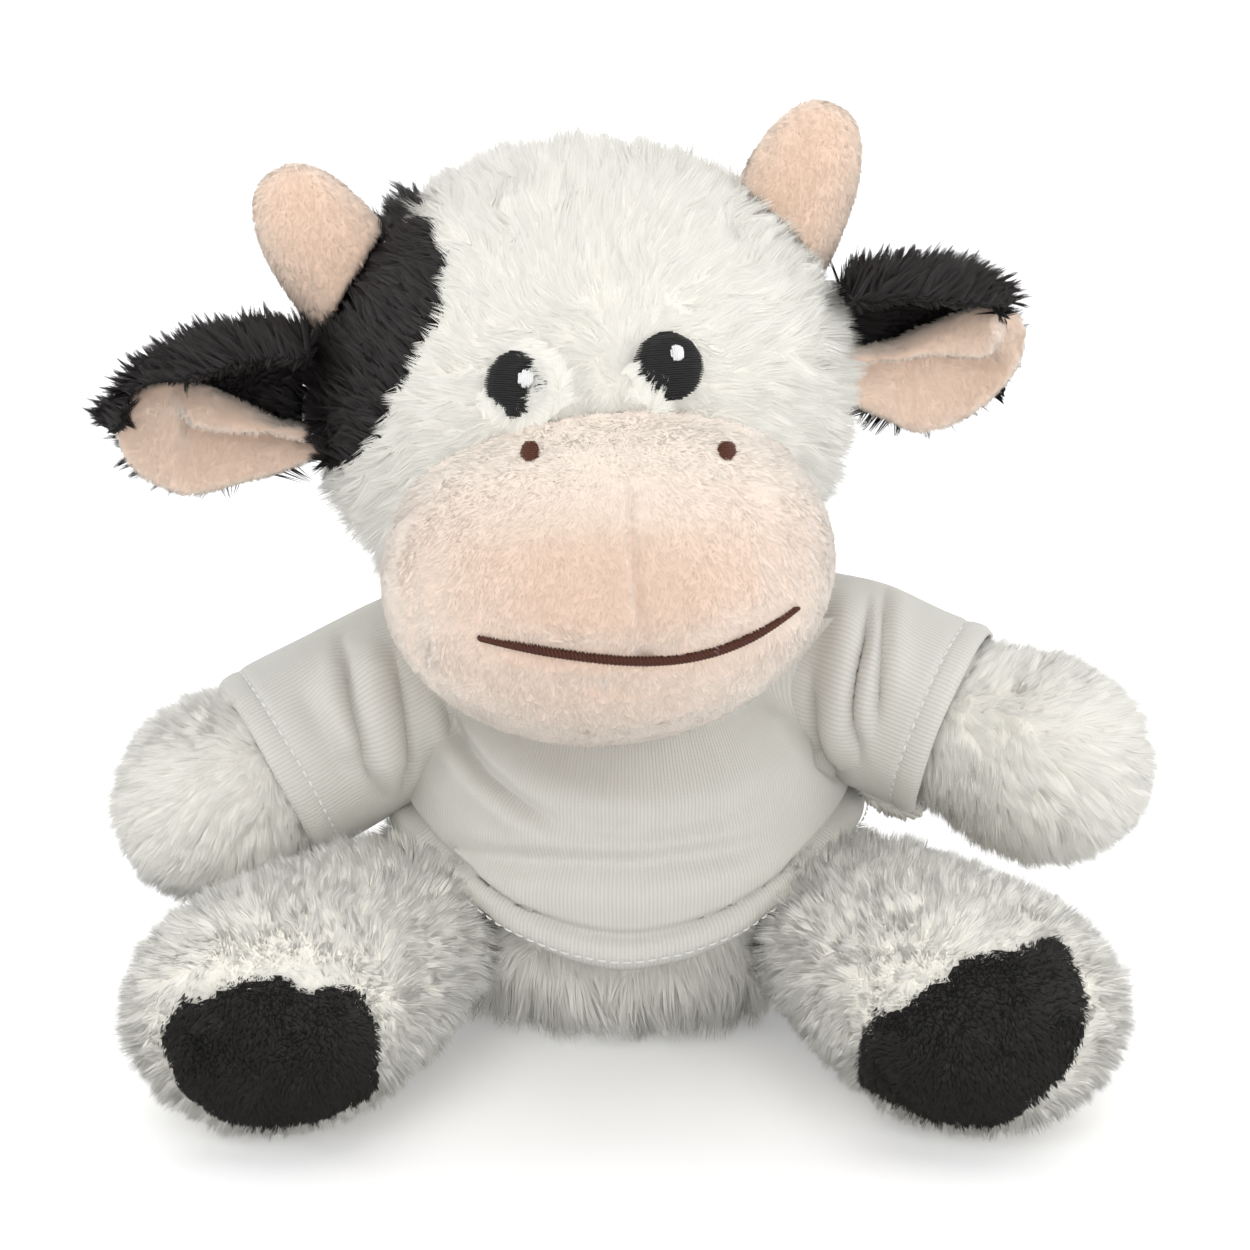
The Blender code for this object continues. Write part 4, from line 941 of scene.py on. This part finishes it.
def earLining(side, inner, face):
    # folded over at the top, with a pocket under the fold and a full lower lip
    rows, columns = earSizes["rows"], earSizes["columns"]
    steps = np.linspace(0, 1, columns)
    knots = np.linspace(0, 1, len(earSizes["folded"]))
    folded, plain = (softenLine(placeOn(earSizes[kind], knots, steps), 4) for kind in ("folded", "plain"))
    along = np.linspace(0, 1, rows)
    foldEnd = earSides[side]["foldEnd"]
    share = (1 - ramp(along, foldEnd - 0.12, foldEnd))[:, None]
    place, height = (share * folded[:, axis] + (1 - share) * plain[:, axis] for axis in (0, 1))
    height = np.where(place > 1.0, height, height * (0.6 + 0.4 * ramp(along, 0, 0.3))[:, None])
    height = height * (1 - 0.7 * ramp(along, 0.72, 1.0) ** 2)[:, None]
    top, fold, bottom = (evenLine(line, rows)[:, None, :] for line in earLines[side])
    upward = place[..., None]
    flat = np.where(upward < 1, top + (fold - top) * upward, fold + (bottom - fold) * (upward - 1))
    middle = inner.mean(axis=0)
    middle = middle + face * ((inner @ face).mean() - middle @ face + earSizes["forward"])
    points = fromPixels(flat.reshape(-1, 2), middle, face) + face * height.reshape(-1, 1)
    mesh = quadMesh(side + "EarLining", points, rows, columns, False)
    lining = addPiece(side + "EarLining", mesh, velboaCloth)
    if normalsOf(mesh).reshape(rows, columns, 3)[rows // 2, columns * 2 // 3] @ face < 0:
        mesh.flip_normals()
    thicken(lining, earSizes["cloth"], -1.0)
    return lining


for number, side in enumerate(("left", "right")):
    furredForm(side + "Horn", [side + "_horn_skin", side + "_horn_filling"], hornCloth,
               {"voxel": 0.0009, "passes": 6}, side + "HornNap", "head", hornNap, hornPile,
               (0.0, 0.0, -1.0), 61 + number)
    ear = side + "_ear"
    inner = nodePoints(ear + "_lining")
    out = unit(inner.mean(axis=0) - earSides[side]["joint"])
    face = np.array([earSides[side]["lean"], -1.0, 0.12])
    face = unit(face - out * (face @ out))
    above = unit(np.cross(out, face))
    above = above if above[2] > 0 else -above
    back, coat = earBack(side, earLines[side][0] + earLines[side][2][::-1], inner, out, face, above)
    growFur(side + "EarFur", coat, ear, earFur, blackFurCloth, 71 + number)
    declare(back, ear, [ear + "_back"])
    lining = earLining(side, inner, face)
    coat = pelt(lining)
    coat["comb"][:] = out * 0.6 - above * 0.8
    growFur(side + "EarNap", coat, ear, dict(hornNap, strands=22000), velboaPile, 81 + number)
    declare(lining, ear, [ear + "_lining"])
print("horns and ears made")


def tubes(name, paths, ups, radius, flat, material, sides=6):
    # one thread along each path, with narrower closed ends
    angles = math.tau * np.arange(sides)[:, None] / sides
    rings, faces, count = [], [], 0
    for path, up in zip(paths, ups):
        path = np.array(path, float)
        along = unit(np.gradient(path, axis=0))
        aside = unit(np.cross(along, up))
        above = np.cross(aside, along)
        size = np.full(len(path), radius)
        size[[0, -1]] *= 0.35
        around = aside[:, None] * np.cos(angles) + above[:, None] * flat * np.sin(angles)
        rings.append((path[:, None] + size[:, None, None] * around).reshape(-1, 3))
        quads = np.roll(gridFaces(len(path), sides, True)[:, ::-1], 1, axis=1)
        last = count + len(rings[-1])
        faces += [*(quads + count), count + np.arange(sides), last - 1 - np.arange(sides)]
        count = last
    starts = np.cumsum([0] + [len(face) for face in faces[:-1]])
    return addPiece(name, toMesh(name, np.concatenate(rings), np.concatenate(faces), starts), material)


def surfaceDisc(node):
    points = nodePoints(node)
    middle = points.mean(axis=0)
    spread = points - middle
    _, _, axes = np.linalg.svd(spread, full_matrices=False)
    normal = axes[2] if axes[2][1] < 0 else -axes[2]
    across = unit(np.cross(np.array([0, 0, 1.0]), -normal))
    above = np.cross(normal, across)
    return middle, normal, across, above if above[2] >= 0 else -above, spread


threadSizes = {
    "Eye": {"pitch": 0.00036, "radius": 0.00023, "lift": 0.0002, "dome": 0.0004, "share": 0.93},
    "Glint": {"pitch": 0.00030, "radius": 0.0002, "lift": 0.0003, "dome": 0.0, "share": 1.0},
    "Nostril": {"pitch": 0.00030, "radius": 0.0002, "lift": 0.0003, "dome": 0.0012, "share": 0.96},
    "ragged": 0.00022, "waver": 0.00003, "covered": 0.0011,
}


def satinDisc(side, kind, node, material, seed, at=None, ground=None, shown=None):
    # close parallel threads over a round spot; what doesn't show of it lies deeper
    rng = np.random.default_rng(seed)
    dims = threadSizes[kind]
    middle, normal, across, above, spread = surfaceDisc(node)
    if at is not None:
        middle, normal, across, above = at, -lookAlong, lookAcross, lookUp
    if kind == "Glint":
        across, above = above, -across
    halfAcross = np.abs(spread @ across).max() * dims["share"]
    halfAbove = np.abs(spread @ above).max() * dims["share"]
    if at is not None:
        halfAcross = halfAbove = max(halfAcross, halfAbove)
    tree = ground or nodeTree(node)
    waver = threadSizes["waver"]
    paths = []
    for row in range(int(2 * halfAbove / dims["pitch"])):
        height = -halfAbove + dims["pitch"] * (row + 0.5)
        half = halfAcross * math.sqrt(max(0.0, 1 - (height / halfAbove) ** 2))
        half += rng.uniform(-threadSizes["ragged"], threadSizes["ragged"])
        if half < dims["pitch"]:
            continue
        path = []
        for place in np.linspace(-1, 1, 11):
            spot = middle + across * half * place + above * (height + rng.uniform(-waver, waver))
            hit, _, _, _ = tree.ray_cast(Vector(spot + normal * 0.01), Vector(-normal))
            base = np.array(hit) if hit is not None else spot
            edge = (half * place / halfAcross) ** 2 + (height / halfAbove) ** 2
            drop = 0.0005 * (abs(place) > 0.99)
            if shown:
                hidden = -insideOutline(toPixels(base[None]), shown)
                drop += threadSizes["covered"] * ramp(hidden, 0, 4)[0]
            path.append(base + normal * (dims["lift"] + dims["dome"] * max(0.0, 1 - edge) - drop))
        paths.append(path)
    piece = tubes(side + kind, paths, [normal] * len(paths), dims["radius"], 0.8, material)
    declare(piece, "head", [node])


muzzleTree = BVHTree.FromPolygons(toArray(muzzleHide.data).tolist(), pelt(muzzleHide)["tris"].tolist())


def onMuzzle(pixels):
    # where the sight lines through these pixels meet the muzzle
    aims = fromPixels(np.array(pixels, float), muzzleMiddle, lookAlong)
    hits = [muzzleTree.ray_cast(Vector(eyePoint), Vector(aim - eyePoint))[0] for aim in aims]
    return np.array([np.array(hit) for hit in hits if hit is not None])


nostrilSpots = dict(zip(("left", "right"), onMuzzle([(530, 451), (727, 450)])))
for number, side in enumerate(("left", "right")):
    satinDisc(side, "Eye", side + "_eye", blackThread, 91 + number, shown=eyeOutlines[side])
    satinDisc(side, "Glint", side + "_eye_glint", whiteThread, 93 + number)
    satinDisc(side, "Nostril", side + "_nostril", brownThread, 95 + number,
              at=nostrilSpots[side], ground=muzzleTree)

# the mouth: a tight row of slanting stitches along the line
mouthSizes = {"thickness": 0.00078, "pitch": 0.00062, "thread": 0.00036, "slant": 0.0006, "swell": 0.0007}
mouthLine = [(481, 637), (500, 642), (520, 646), (545, 650), (570, 654), (600, 658), (625, 660), (646, 661),
             (670, 660), (695, 656), (720, 649), (745, 640), (765, 629), (782, 618), (796, 606)]
centres = onMuzzle(evenLine(mouthLine, 41))
for axis in (1, 2):
    centres[:, axis] = np.polyval(np.polyfit(centres[:, 0], centres[:, axis], 5), centres[:, 0])
marks = lengthsAlong(centres)
paths, ups = [], []
for place in np.arange(0.0004, marks[-1], mouthSizes["pitch"]):
    spot = placeOn(centres, marks, place)
    along = unit(placeOn(centres, marks, min(place + 0.0008, marks[-1])) - spot + (1e-7, 0, 0))
    outward = unit(spot - muzzleMiddle)
    across = unit(np.cross(along, outward))
    half = mouthSizes["thickness"] * min(1.0, 0.35 + 4 * min(place, marks[-1] - place) / marks[-1])
    share = np.linspace(-1, 1, 7)[:, None]
    rise = mouthSizes["swell"] * (1 - share ** 2) + 0.0001
    paths.append(spot + across * half * share + along * share * mouthSizes["slant"] + outward * rise)
    ups.append(outward)
mouth = tubes("mouthStitches", paths, ups, mouthSizes["thread"], 0.9, mouthThread)
declare(mouth, "head", ["mouth_stitch"])
print("face stitched")

# the torso, which shows below the shirt, and the tail
torsoSizes = {"sink": 0.0010, "length": 0.0052, "strands": 46000, "roundness": 0.28, "neckDrop": 0.012,
              "underHem": (0.004, 0.007), "neckTo": (0.020, 0.024), "bellyFull": 0.20, "rimFull": 0.6}
shirtLow = {"front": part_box("shirt_front")[0].z, "side": 0.0332, "back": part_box("shirt_back")[0].z,
            "bend": 1.75}
tailComb = (0, 1.0, -0.3)


def hemHeight(angle):
    low = np.where(np.cos(angle) > 0, shirtLow["front"], shirtLow["back"])
    return low + (shirtLow["side"] - low) * np.abs(np.sin(angle)) ** shirtLow["bend"]


torsoHide = hideOf("torsoHide", ["torso_skin", "torso_filling"], whiteBacking, inset=torsoSizes["sink"])
coat = pelt(torsoHide)
points = coat["points"]
hem = hemHeight(np.arctan2(points[:, 0], -points[:, 1]))
fromNeck = np.linalg.norm(points[:, :2], axis=1)
neck = points[:, 2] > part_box("torso_skin")[1].z - torsoSizes["neckDrop"]
neck = neck * (1 - ramp(fromNeck, *torsoSizes["neckTo"]))
coat["density"] = np.maximum(1 - ramp(points[:, 2] - hem, *torsoSizes["underHem"]), neck)
belly = ramp(-points[:, 1], 0.010, 0.028) * (1 - ramp(points[:, 2], 0.010, 0.020))
lowRim = ramp(-points[:, 1], 0.008, 0.020) * (1 - ramp(points[:, 2], 0.006, 0.014))
coat["size"] = 1 + torsoSizes["bellyFull"] * belly + torsoSizes["rimFull"] * lowRim
coat["comb"] = unit(points * [1, 1, 0]) * 0.2 + (0, 0, -1.0)
coat["comb"] += np.array([0, -0.8, -0.5]) * belly[:, None] + np.array([0, -0.3, -0.5]) * lowRim[:, None]
growFur("torsoFur", coat, "torso", bodyFur | torsoSizes, whiteFurCloth, 101)
declare(torsoHide, "torso", ["torso_skin", "torso_filling"])
furredForm("tailCord", ["tail_cord"], whiteBacking, {"voxel": 0.0007, "passes": 3, "inset": 0.0010},
           "tailFur", "tail", dict(white, length=0.0035, width=0.00022, strands=7000),
           whiteFurCloth, tailComb, 103)
furredForm("tailTuft", ["tail_tuft"], blackBacking, {"voxel": 0.0007, "passes": 3, "inset": 0.0014},
           "tuftFur", "tail", dict(black, length=0.0055, strands=9000),
           blackFurCloth, tailComb, 104)
print("torso and tail made")

# the T-shirt
# its folds in the photograph's pixels: points, width in pixels, height in metres
folds = [
    ([(374, 640), (376, 700), (386, 760), (394, 792)], 15, 0.0030),
    ([(343, 640), (350, 700), (366, 765), (386, 806)], 4.5, -0.0022),
    ([(393, 650), (404, 710), (409, 760), (400, 800)], 4.5, -0.0022),
    ([(330, 650), (338, 705), (353, 765)], 8, 0.0011),
    ([(297, 686), (315, 715), (334, 745), (352, 782)], 9, -0.0012),
    ([(322, 680), (337, 720), (354, 760)], 9, 0.0008),
    ([(439, 690), (455, 731), (486, 771), (523, 803), (560, 826)], 5, -0.0020),
    ([(426, 700), (442, 744), (472, 786), (510, 818), (552, 842)], 9, 0.0014),
    ([(560, 826), (640, 834), (730, 814), (790, 780)], 10, -0.0010),
    ([(455, 720), (490, 752), (530, 780), (580, 800), (650, 806)], 16, 0.0009),
    ([(410, 838), (450, 853), (533, 862), (639, 864), (730, 852), (790, 830)], 9, -0.0016),
    ([(470, 842), (560, 846), (650, 846), (740, 832)], 9, 0.0008),
    ([(430, 868), (520, 892), (640, 902), (760, 872), (820, 830)], 16, 0.0012),
    ([(848, 590), (842, 660), (838, 720), (836, 760)], 14, 0.0026),
    ([(868, 602), (864, 645), (857, 675), (853, 705), (854, 725), (859, 745), (861, 768)], 4, -0.0020),
    ([(812, 670), (817, 730), (824, 762), (837, 775), (851, 767)], 4.5, -0.0020),
    ([(874, 600), (872, 655), (866, 700), (865, 745)], 7, 0.0014),
    ([(884, 592), (881, 640), (879, 691), (873, 735)], 4, -0.0016),
    ([(897, 588), (896, 640), (893, 700)], 9, 0.0010),
    ([(775, 700), (790, 745), (800, 790)], 12, 0.0007),
]


def castRadii(tree, origins, directions, far, least):
    radii = np.full(origins.shape[:2], np.nan)
    for spot in np.ndindex(radii.shape):
        out = directions[spot]
        hit, _, _, distance = tree.ray_cast(Vector(origins[spot] + out * far), Vector(-out), far - least)
        if hit is not None:
            radii[spot] = far - distance
    return radii


def fillGaps(radii):
    filled = radii.copy()
    for lines in (filled.T, filled):  # down each column, then along each row
        for line in lines:
            known = np.flatnonzero(~np.isnan(line))
            if len(known):
                line[:] = np.interp(np.arange(len(line)), known, line[known])
    return filled


def clothGrid(name, points, knitU, knitV, closed):
    rows, columns = points.shape[:2]
    mesh = quadMesh(name, points, rows, columns, closed)
    quads = gridFaces(rows, columns, closed)
    layer = mesh.uv_layers.new(name="Knit")
    uvs = np.stack([knitU.ravel()[quads], knitV.ravel()[quads]], axis=-1)
    if closed:
        wrap = uvs[..., 0].max(axis=1) - uvs[..., 0].min(axis=1) > knitU.max() * 0.5
        girth = knitU[:, -1].max() * columns / (columns - 1)
        uvs[wrap, :, 0] = np.where(uvs[wrap, :, 0] < girth / 2, uvs[wrap, :, 0] + girth, uvs[wrap, :, 0])
    layer.data.foreach_set("uv", uvs.reshape(-1).astype(np.float32))
    piece = addPiece(name, mesh, jersey)
    thicken(piece, shirtSizes["cloth"], -1.0)
    return piece


shirtSizes = {
    "columns": 260, "rows": 110, "band": 0.0056, "bandSwell": 0.0015, "bandGroove": 0.0015, "cloth": 0.0006,
    "edgeRound": 0.0012, "topFront": 0.0600, "topBack": 0.0686, "shoulderFront": 0.0120,
    "shoulderBack": 0.0075, "proud": 0.0003, "neckLean": 0.0055, "neckGroove": 0.0007,
    "ease": 1.02, "meanHeight": 0.036,
    "hemStitch": {"pitch": 0.0021, "length": 0.0015, "radius": 0.00020},
    "cuffStitch": {"pitch": 0.0020, "length": 0.0015, "radius": 0.00028},
}
shirtTree = nodeTree("shirt_front", "shirt_back")


def shirtPanel(name, node, startAngle, endAngle):
    columns, rows = shirtSizes["columns"], shirtSizes["rows"]
    angles = np.linspace(startAngle, endAngle, columns)
    hem = hemHeight(angles)
    frontShare = ramp(np.cos(angles), -0.2, 0.3)
    backShare = 1 - frontShare
    sideways = np.abs(np.sin(angles))
    climb = frontShare * ramp(sideways, 0.50, 0.85) + backShare * ramp(ramp(sideways, 0.20, 1.0), 0, 1)
    top = frontShare * shirtSizes["topFront"] + backShare * shirtSizes["topBack"]
    top = top + (frontShare * shirtSizes["shoulderFront"] + backShare * shirtSizes["shoulderBack"]) * climb
    heights = hem + (top - hem) * np.linspace(0, 1, rows)[:, None]
    outwardRow = np.stack([np.sin(angles), -np.cos(angles), np.zeros(columns)], axis=1)
    outward = np.repeat(outwardRow[None], rows, axis=0)
    origins = np.zeros((rows, columns, 3))
    origins[..., 2] = np.clip(heights, hem + 0.001, top - 0.002)
    radii = fillGaps(castRadii(shirtTree, origins, outward, 0.08, 0.025))
    radii = blurGrid(radii, 26, False) + shirtSizes["proud"]
    # the rolled hem: a soft band below a pressed line
    above = heights - hem
    band = shirtSizes["band"]
    swell = np.sin(np.clip(above / band, 0, 1) * math.pi) ** 0.6 * shirtSizes["bandSwell"]
    swell -= shirtSizes["bandGroove"] * bell(above - band * 1.08, 0.0006)
    swell -= shirtSizes["edgeRound"] * bell(above, 0.0006)
    # the neckband leans in to the neck
    fromTop = top - heights
    swell -= backShare * shirtSizes["neckLean"] * (1 - ramp(fromTop, 0, 0.0045)) ** 1.6
    swell -= backShare * shirtSizes["neckGroove"] * bell(fromTop - 0.0062, 0.0004)
    points = outward * (radii + swell)[..., None]
    points[..., 2] = heights
    normals = gridNormals(points, False)
    if normals[rows // 2, columns // 2] @ outwardRow[columns // 2] < 0:
        normals = -normals
    points, normals = points.reshape(-1, 3), normals.reshape(-1, 3)
    height = foldHeight(points, normals, folds)
    height += softNoise(points, 0.014, 7)[:, 0] * 0.0005 + softNoise(points, 0.006, 8)[:, 0] * 0.00018
    points = (points + normals * height[:, None]).reshape(rows, columns, 3)
    girth = lengthsAlong(points[rows // 2])
    panel = clothGrid(name, points, np.repeat(girth[None], rows, axis=0), heights, False)
    declare(panel, "torso", [node])
    return panel, points, normals.reshape(rows, columns, 3), girth[-1]


def stitchRow(name, points, normals, dims):
    marks = lengthsAlong(points)
    paths, ups = [], []
    rng = np.random.default_rng(len(name))
    for place in np.arange(dims["pitch"] * 0.3, marks[-1] - dims["length"], dims["pitch"]):
        line = []
        for share in np.linspace(0, 1, 5):
            at = place + dims["length"] * share
            up = unit(placeOn(normals, marks, at))
            rise = 0.00045 + dims["radius"] * 0.9 * math.sin(math.pi * share)
            line.append(placeOn(points, marks, at) + up * rise + rng.uniform(-0.00003, 0.00003, 3))
        paths.append(line)
        ups.append(up)
    return tubes(name, paths, ups, dims["radius"], 0.8, shirtThread)


sideOverlap = math.radians(91)
panels = {  # the angles that it spans, and its flat height
    "Front": (-sideOverlap, sideOverlap, 0.050),
    "Back": (sideOverlap - 0.03, math.tau - sideOverlap + 0.03, 0.048),
}
made = {name: shirtPanel("shirt" + name, "shirt_" + name.lower(), *panels[name][:2]) for name in panels}
for name, (panel, points, normals, girth) in made.items():
    row = stitchRow("hemStitch" + name, points[6], normals[6], shirtSizes["hemStitch"])
    declare(row, "torso")

sleeveSizes = {"columns": 150, "rows": 90, "proud": 0.0002, "cuff": 0.0042, "cuffGroove": 0.0005,
               "edgeRound": 0.0008, "rootLean": 0.0050, "wrinkle": 0.0006, "pleat": 0.0007, "pleats": 7,
               "ease": 1.05}


def sleeve(side):
    node = side + "_sleeve"
    root = np.array(shoulders[side])
    axis = unit(nodePoints(side + "_arm_skin").mean(axis=0) - root)
    across = unit(np.cross(axis, np.array([0, 1.0, 0])))
    across = across if across[2] > 0 else -across
    forward = unit(np.cross(across, axis))
    columns, rows = sleeveSizes["columns"], sleeveSizes["rows"]
    places = nodePoints(node) @ axis - root @ axis
    start, end = places.min() + 0.0005, places.max()
    angles = np.arange(columns) / columns * math.tau
    ringOut = np.outer(np.cos(angles), across) + np.outer(np.sin(angles), forward)
    outward = np.repeat(ringOut[None], rows, axis=0)
    along = np.linspace(start, end, rows)
    probe = np.clip(along, start + 0.001, end - 0.0015)
    origins = root + along[:, None, None] * axis + np.zeros(outward.shape)
    probes = root + probe[:, None, None] * axis + np.zeros(outward.shape)
    radii = blurGrid(fillGaps(castRadii(nodeTree(node), probes, outward, 0.06, 0.004)), 20, True)
    # a pressed line above the cuff, a rounded edge and a root that leans in
    fromCuff = (end - along)[:, None]
    radii += sleeveSizes["proud"] - sleeveSizes["cuffGroove"] * bell(fromCuff - sleeveSizes["cuff"], 0.0004)
    radii -= sleeveSizes["edgeRound"] * bell(fromCuff, 0.0005)
    radii -= sleeveSizes["rootLean"] * (1 - ramp(along, start, start + 0.004))[:, None]
    points = origins + outward * radii[..., None]
    normals = gridNormals(points, True)
    if normals[rows // 2, 0] @ ringOut[0] < 0:
        normals = -normals
    points, normals = points.reshape(-1, 3), normals.reshape(-1, 3)
    height = foldHeight(points, normals, folds) + softNoise(points, 0.011, 17)[:, 0] * sleeveSizes["wrinkle"]
    pleats = np.cos(angles * sleeveSizes["pleats"] + 1.1) * sleeveSizes["pleat"]
    pleats = pleats * (1 - ramp(along, start, start + 0.014))[:, None]
    points = (points + normals * (height + pleats.ravel())[:, None]).reshape(rows, columns, 3)
    normals = normals.reshape(rows, columns, 3)
    girth = 2 * math.pi * radii.mean()
    knitU = np.repeat((angles / math.tau * girth)[None], rows, axis=0)
    knitV = np.repeat(along[:, None], columns, axis=1)
    piece = clothGrid(side + "Sleeve", points, knitU, knitV, True)
    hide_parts(node)
    ring = np.argmin(np.abs(along - (end - sleeveSizes["cuff"])))
    loop, loopUp = (np.concatenate([grid[ring], grid[ring][:1]]) for grid in (points, normals))
    row = stitchRow(side + "CuffStitch", loop, loopUp, shirtSizes["cuffStitch"])
    for part in (piece, row):
        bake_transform(part)


sleeve("left")
sleeve("right")
print("shirt made")

# the blank tab at the side seam: a small soft loop of cloth
tabOutline = [(858, 786), (866, 780), (875, 778), (886, 781), (897, 786), (909, 790), (919, 794),
              (927, 802), (924, 811), (914, 816), (902, 817), (888, 813), (875, 806), (864, 797)]
tabSizes = {"rings": 9, "around": 48, "thickness": 0.0016}
tabFur = dict(white, length=0.0011, width=0.00012, strands=6000)
tabSpot = boxMiddle("side_seam_tab")
rim = evenLine(tabOutline + tabOutline[:1], tabSizes["around"] + 1)[:-1]
heart = rim.mean(axis=0)
layers = []
for level in np.linspace(-1, 1, 2 * tabSizes["rings"] + 1):
    spread = math.cos(level * math.pi / 2) ** 0.7
    flat = heart + (rim - heart) * max(spread, 0.01)
    swell = tabSizes["thickness"] * math.sin(level * math.pi / 2)
    layers.append(fromPixels(flat, tabSpot, -lookAlong) - lookAlong * swell)
mesh = quadMesh("sideTab", np.concatenate(layers), len(layers), tabSizes["around"], True)
tab = addPiece("sideTab", mesh, tabSatin)
if dots(normalsOf(mesh), toArray(mesh) - toArray(mesh).mean(axis=0)).mean() < 0:
    mesh.flip_normals()
fuzz = pelt(tab)
fuzz["comb"][:] = lookAcross
growFur("tabFuzz", fuzz, "torso", tabFur, whiteFurCloth, 131)
declare(tab, "torso", ["side_seam_tab"])
print("tab made")

# floor, light and camera
studio = {"sky": 0.50, "floor": 0.97, "glow": 0.16, "farGlow": 0.75, "glowFrom": 0.5, "glowTo": 2.5,
          "half": 3.0, "drop": 0.0004}
lamps = {  # place and brightness on a white surface that faces it
    "keyLamp": ((-0.6, -1.2, 1.4), 1.2, 0.22),
    "fillLamp": ((1.0, -1.3, 0.6), 1.2, 0.20),
    "frontLamp": ((0.0, -1.8, 0.1), 1.2, 0.20),
    "topLamp": ((0.0, 0.2, 1.8), 1.6, 0.24),
    "leftLamp": ((-1.7, 0.0, 0.4), 1.2, 0.30),
    "rightLamp": ((1.7, 0.0, 0.4), 1.2, 0.30),
    "backLamp": ((0.0, 1.8, 0.9), 1.4, 0.30),
}
world = bpy.data.worlds.new("studioWorld")
scene.world = world
world.use_nodes = True
sky = world.node_tree
lightPath = addNode(sky, "ShaderNodeLightPath", (-900, 0)).outputs
seen = mathNode(sky, "MAXIMUM", (-650, 0), lightPath["Is Camera Ray"], lightPath["Is Glossy Ray"])
seen = mathNode(sky, "MAXIMUM", (-450, 0), seen, lightPath["Is Transmission Ray"])
level = addNode(sky, "ShaderNodeMapRange", (-250, 0), {"Value": seen, "To Min": studio["sky"]})
feed(sky, sky.nodes["Background"], {"Color": (1, 1, 1, 1), "Strength": level.outputs[0]})

floorMaterial, tree, shader = startMaterial("studioFloor", 0.9, 0.0)
lightPath = addNode(tree, "ShaderNodeLightPath", (-600, -200)).outputs
# the lamps hardly reach its far part, which glows more
spot = addNode(tree, "ShaderNodeTexCoord", (-1100, -400)).outputs["Object"]
reach = addNode(tree, "ShaderNodeVectorMath", (-900, -400), {0: spot}, operation="LENGTH").outputs["Value"]
farGlow = addNode(tree, "ShaderNodeMapRange", (-650, -400),
                  {"Value": reach, "From Min": studio["glowFrom"], "From Max": studio["glowTo"],
                   "To Min": studio["glow"], "To Max": studio["farGlow"]})
glow = mathNode(tree, "MULTIPLY", (-300, -200), lightPath["Is Camera Ray"], farGlow.outputs[0])
feed(tree, shader, {"Base Color": (*[studio["floor"]] * 3, 1), "Emission Color": (1, 1, 1, 1),
                    "Emission Strength": glow})
corners = np.array([(-1, -1, 0), (1, -1, 0), (1, 1, 0), (-1, 1, 0)]) * studio["half"]
floor = addPiece("floor", toMesh("floor", corners, np.arange(4), np.array([0])), floorMaterial, smooth=False)
floor.location.z = -studio["drop"]


def addLamp(name, place, size, strength):
    lamp = bpy.data.lights.new(name, "AREA")
    lamp.shape = "DISK"
    lamp.size = size
    distance = np.linalg.norm(np.array(place) - np.array(view["aim"]))
    # the power that gives a facing white surface this brightness
    lamp.energy = strength * math.pi * math.pi * distance ** 2
    lamp.cycles.use_multiple_importance_sampling = False
    holder = bpy.data.objects.new(name, lamp)
    scene.collection.objects.link(holder)
    holder.location = place
    holder.rotation_euler = (Vector(view["aim"]) - Vector(place)).to_track_quat("-Z", "Y").to_euler()


for name, (place, size, strength) in lamps.items():
    addLamp(name, place, size, strength)

camera = bpy.data.objects.new("camera", bpy.data.cameras.new("camera"))
scene.collection.objects.link(camera)
camera.data.sensor_width = 36
camera.data.lens = view["focal"] / 1250 * 36
camera.location = eyePoint
camera.rotation_euler = Vector(lookAlong).to_track_quat("-Z", "Y").to_euler()
camera.data.clip_end = 20
scene.camera = camera
scene.view_settings.view_transform = "Standard"

print("scene ready")
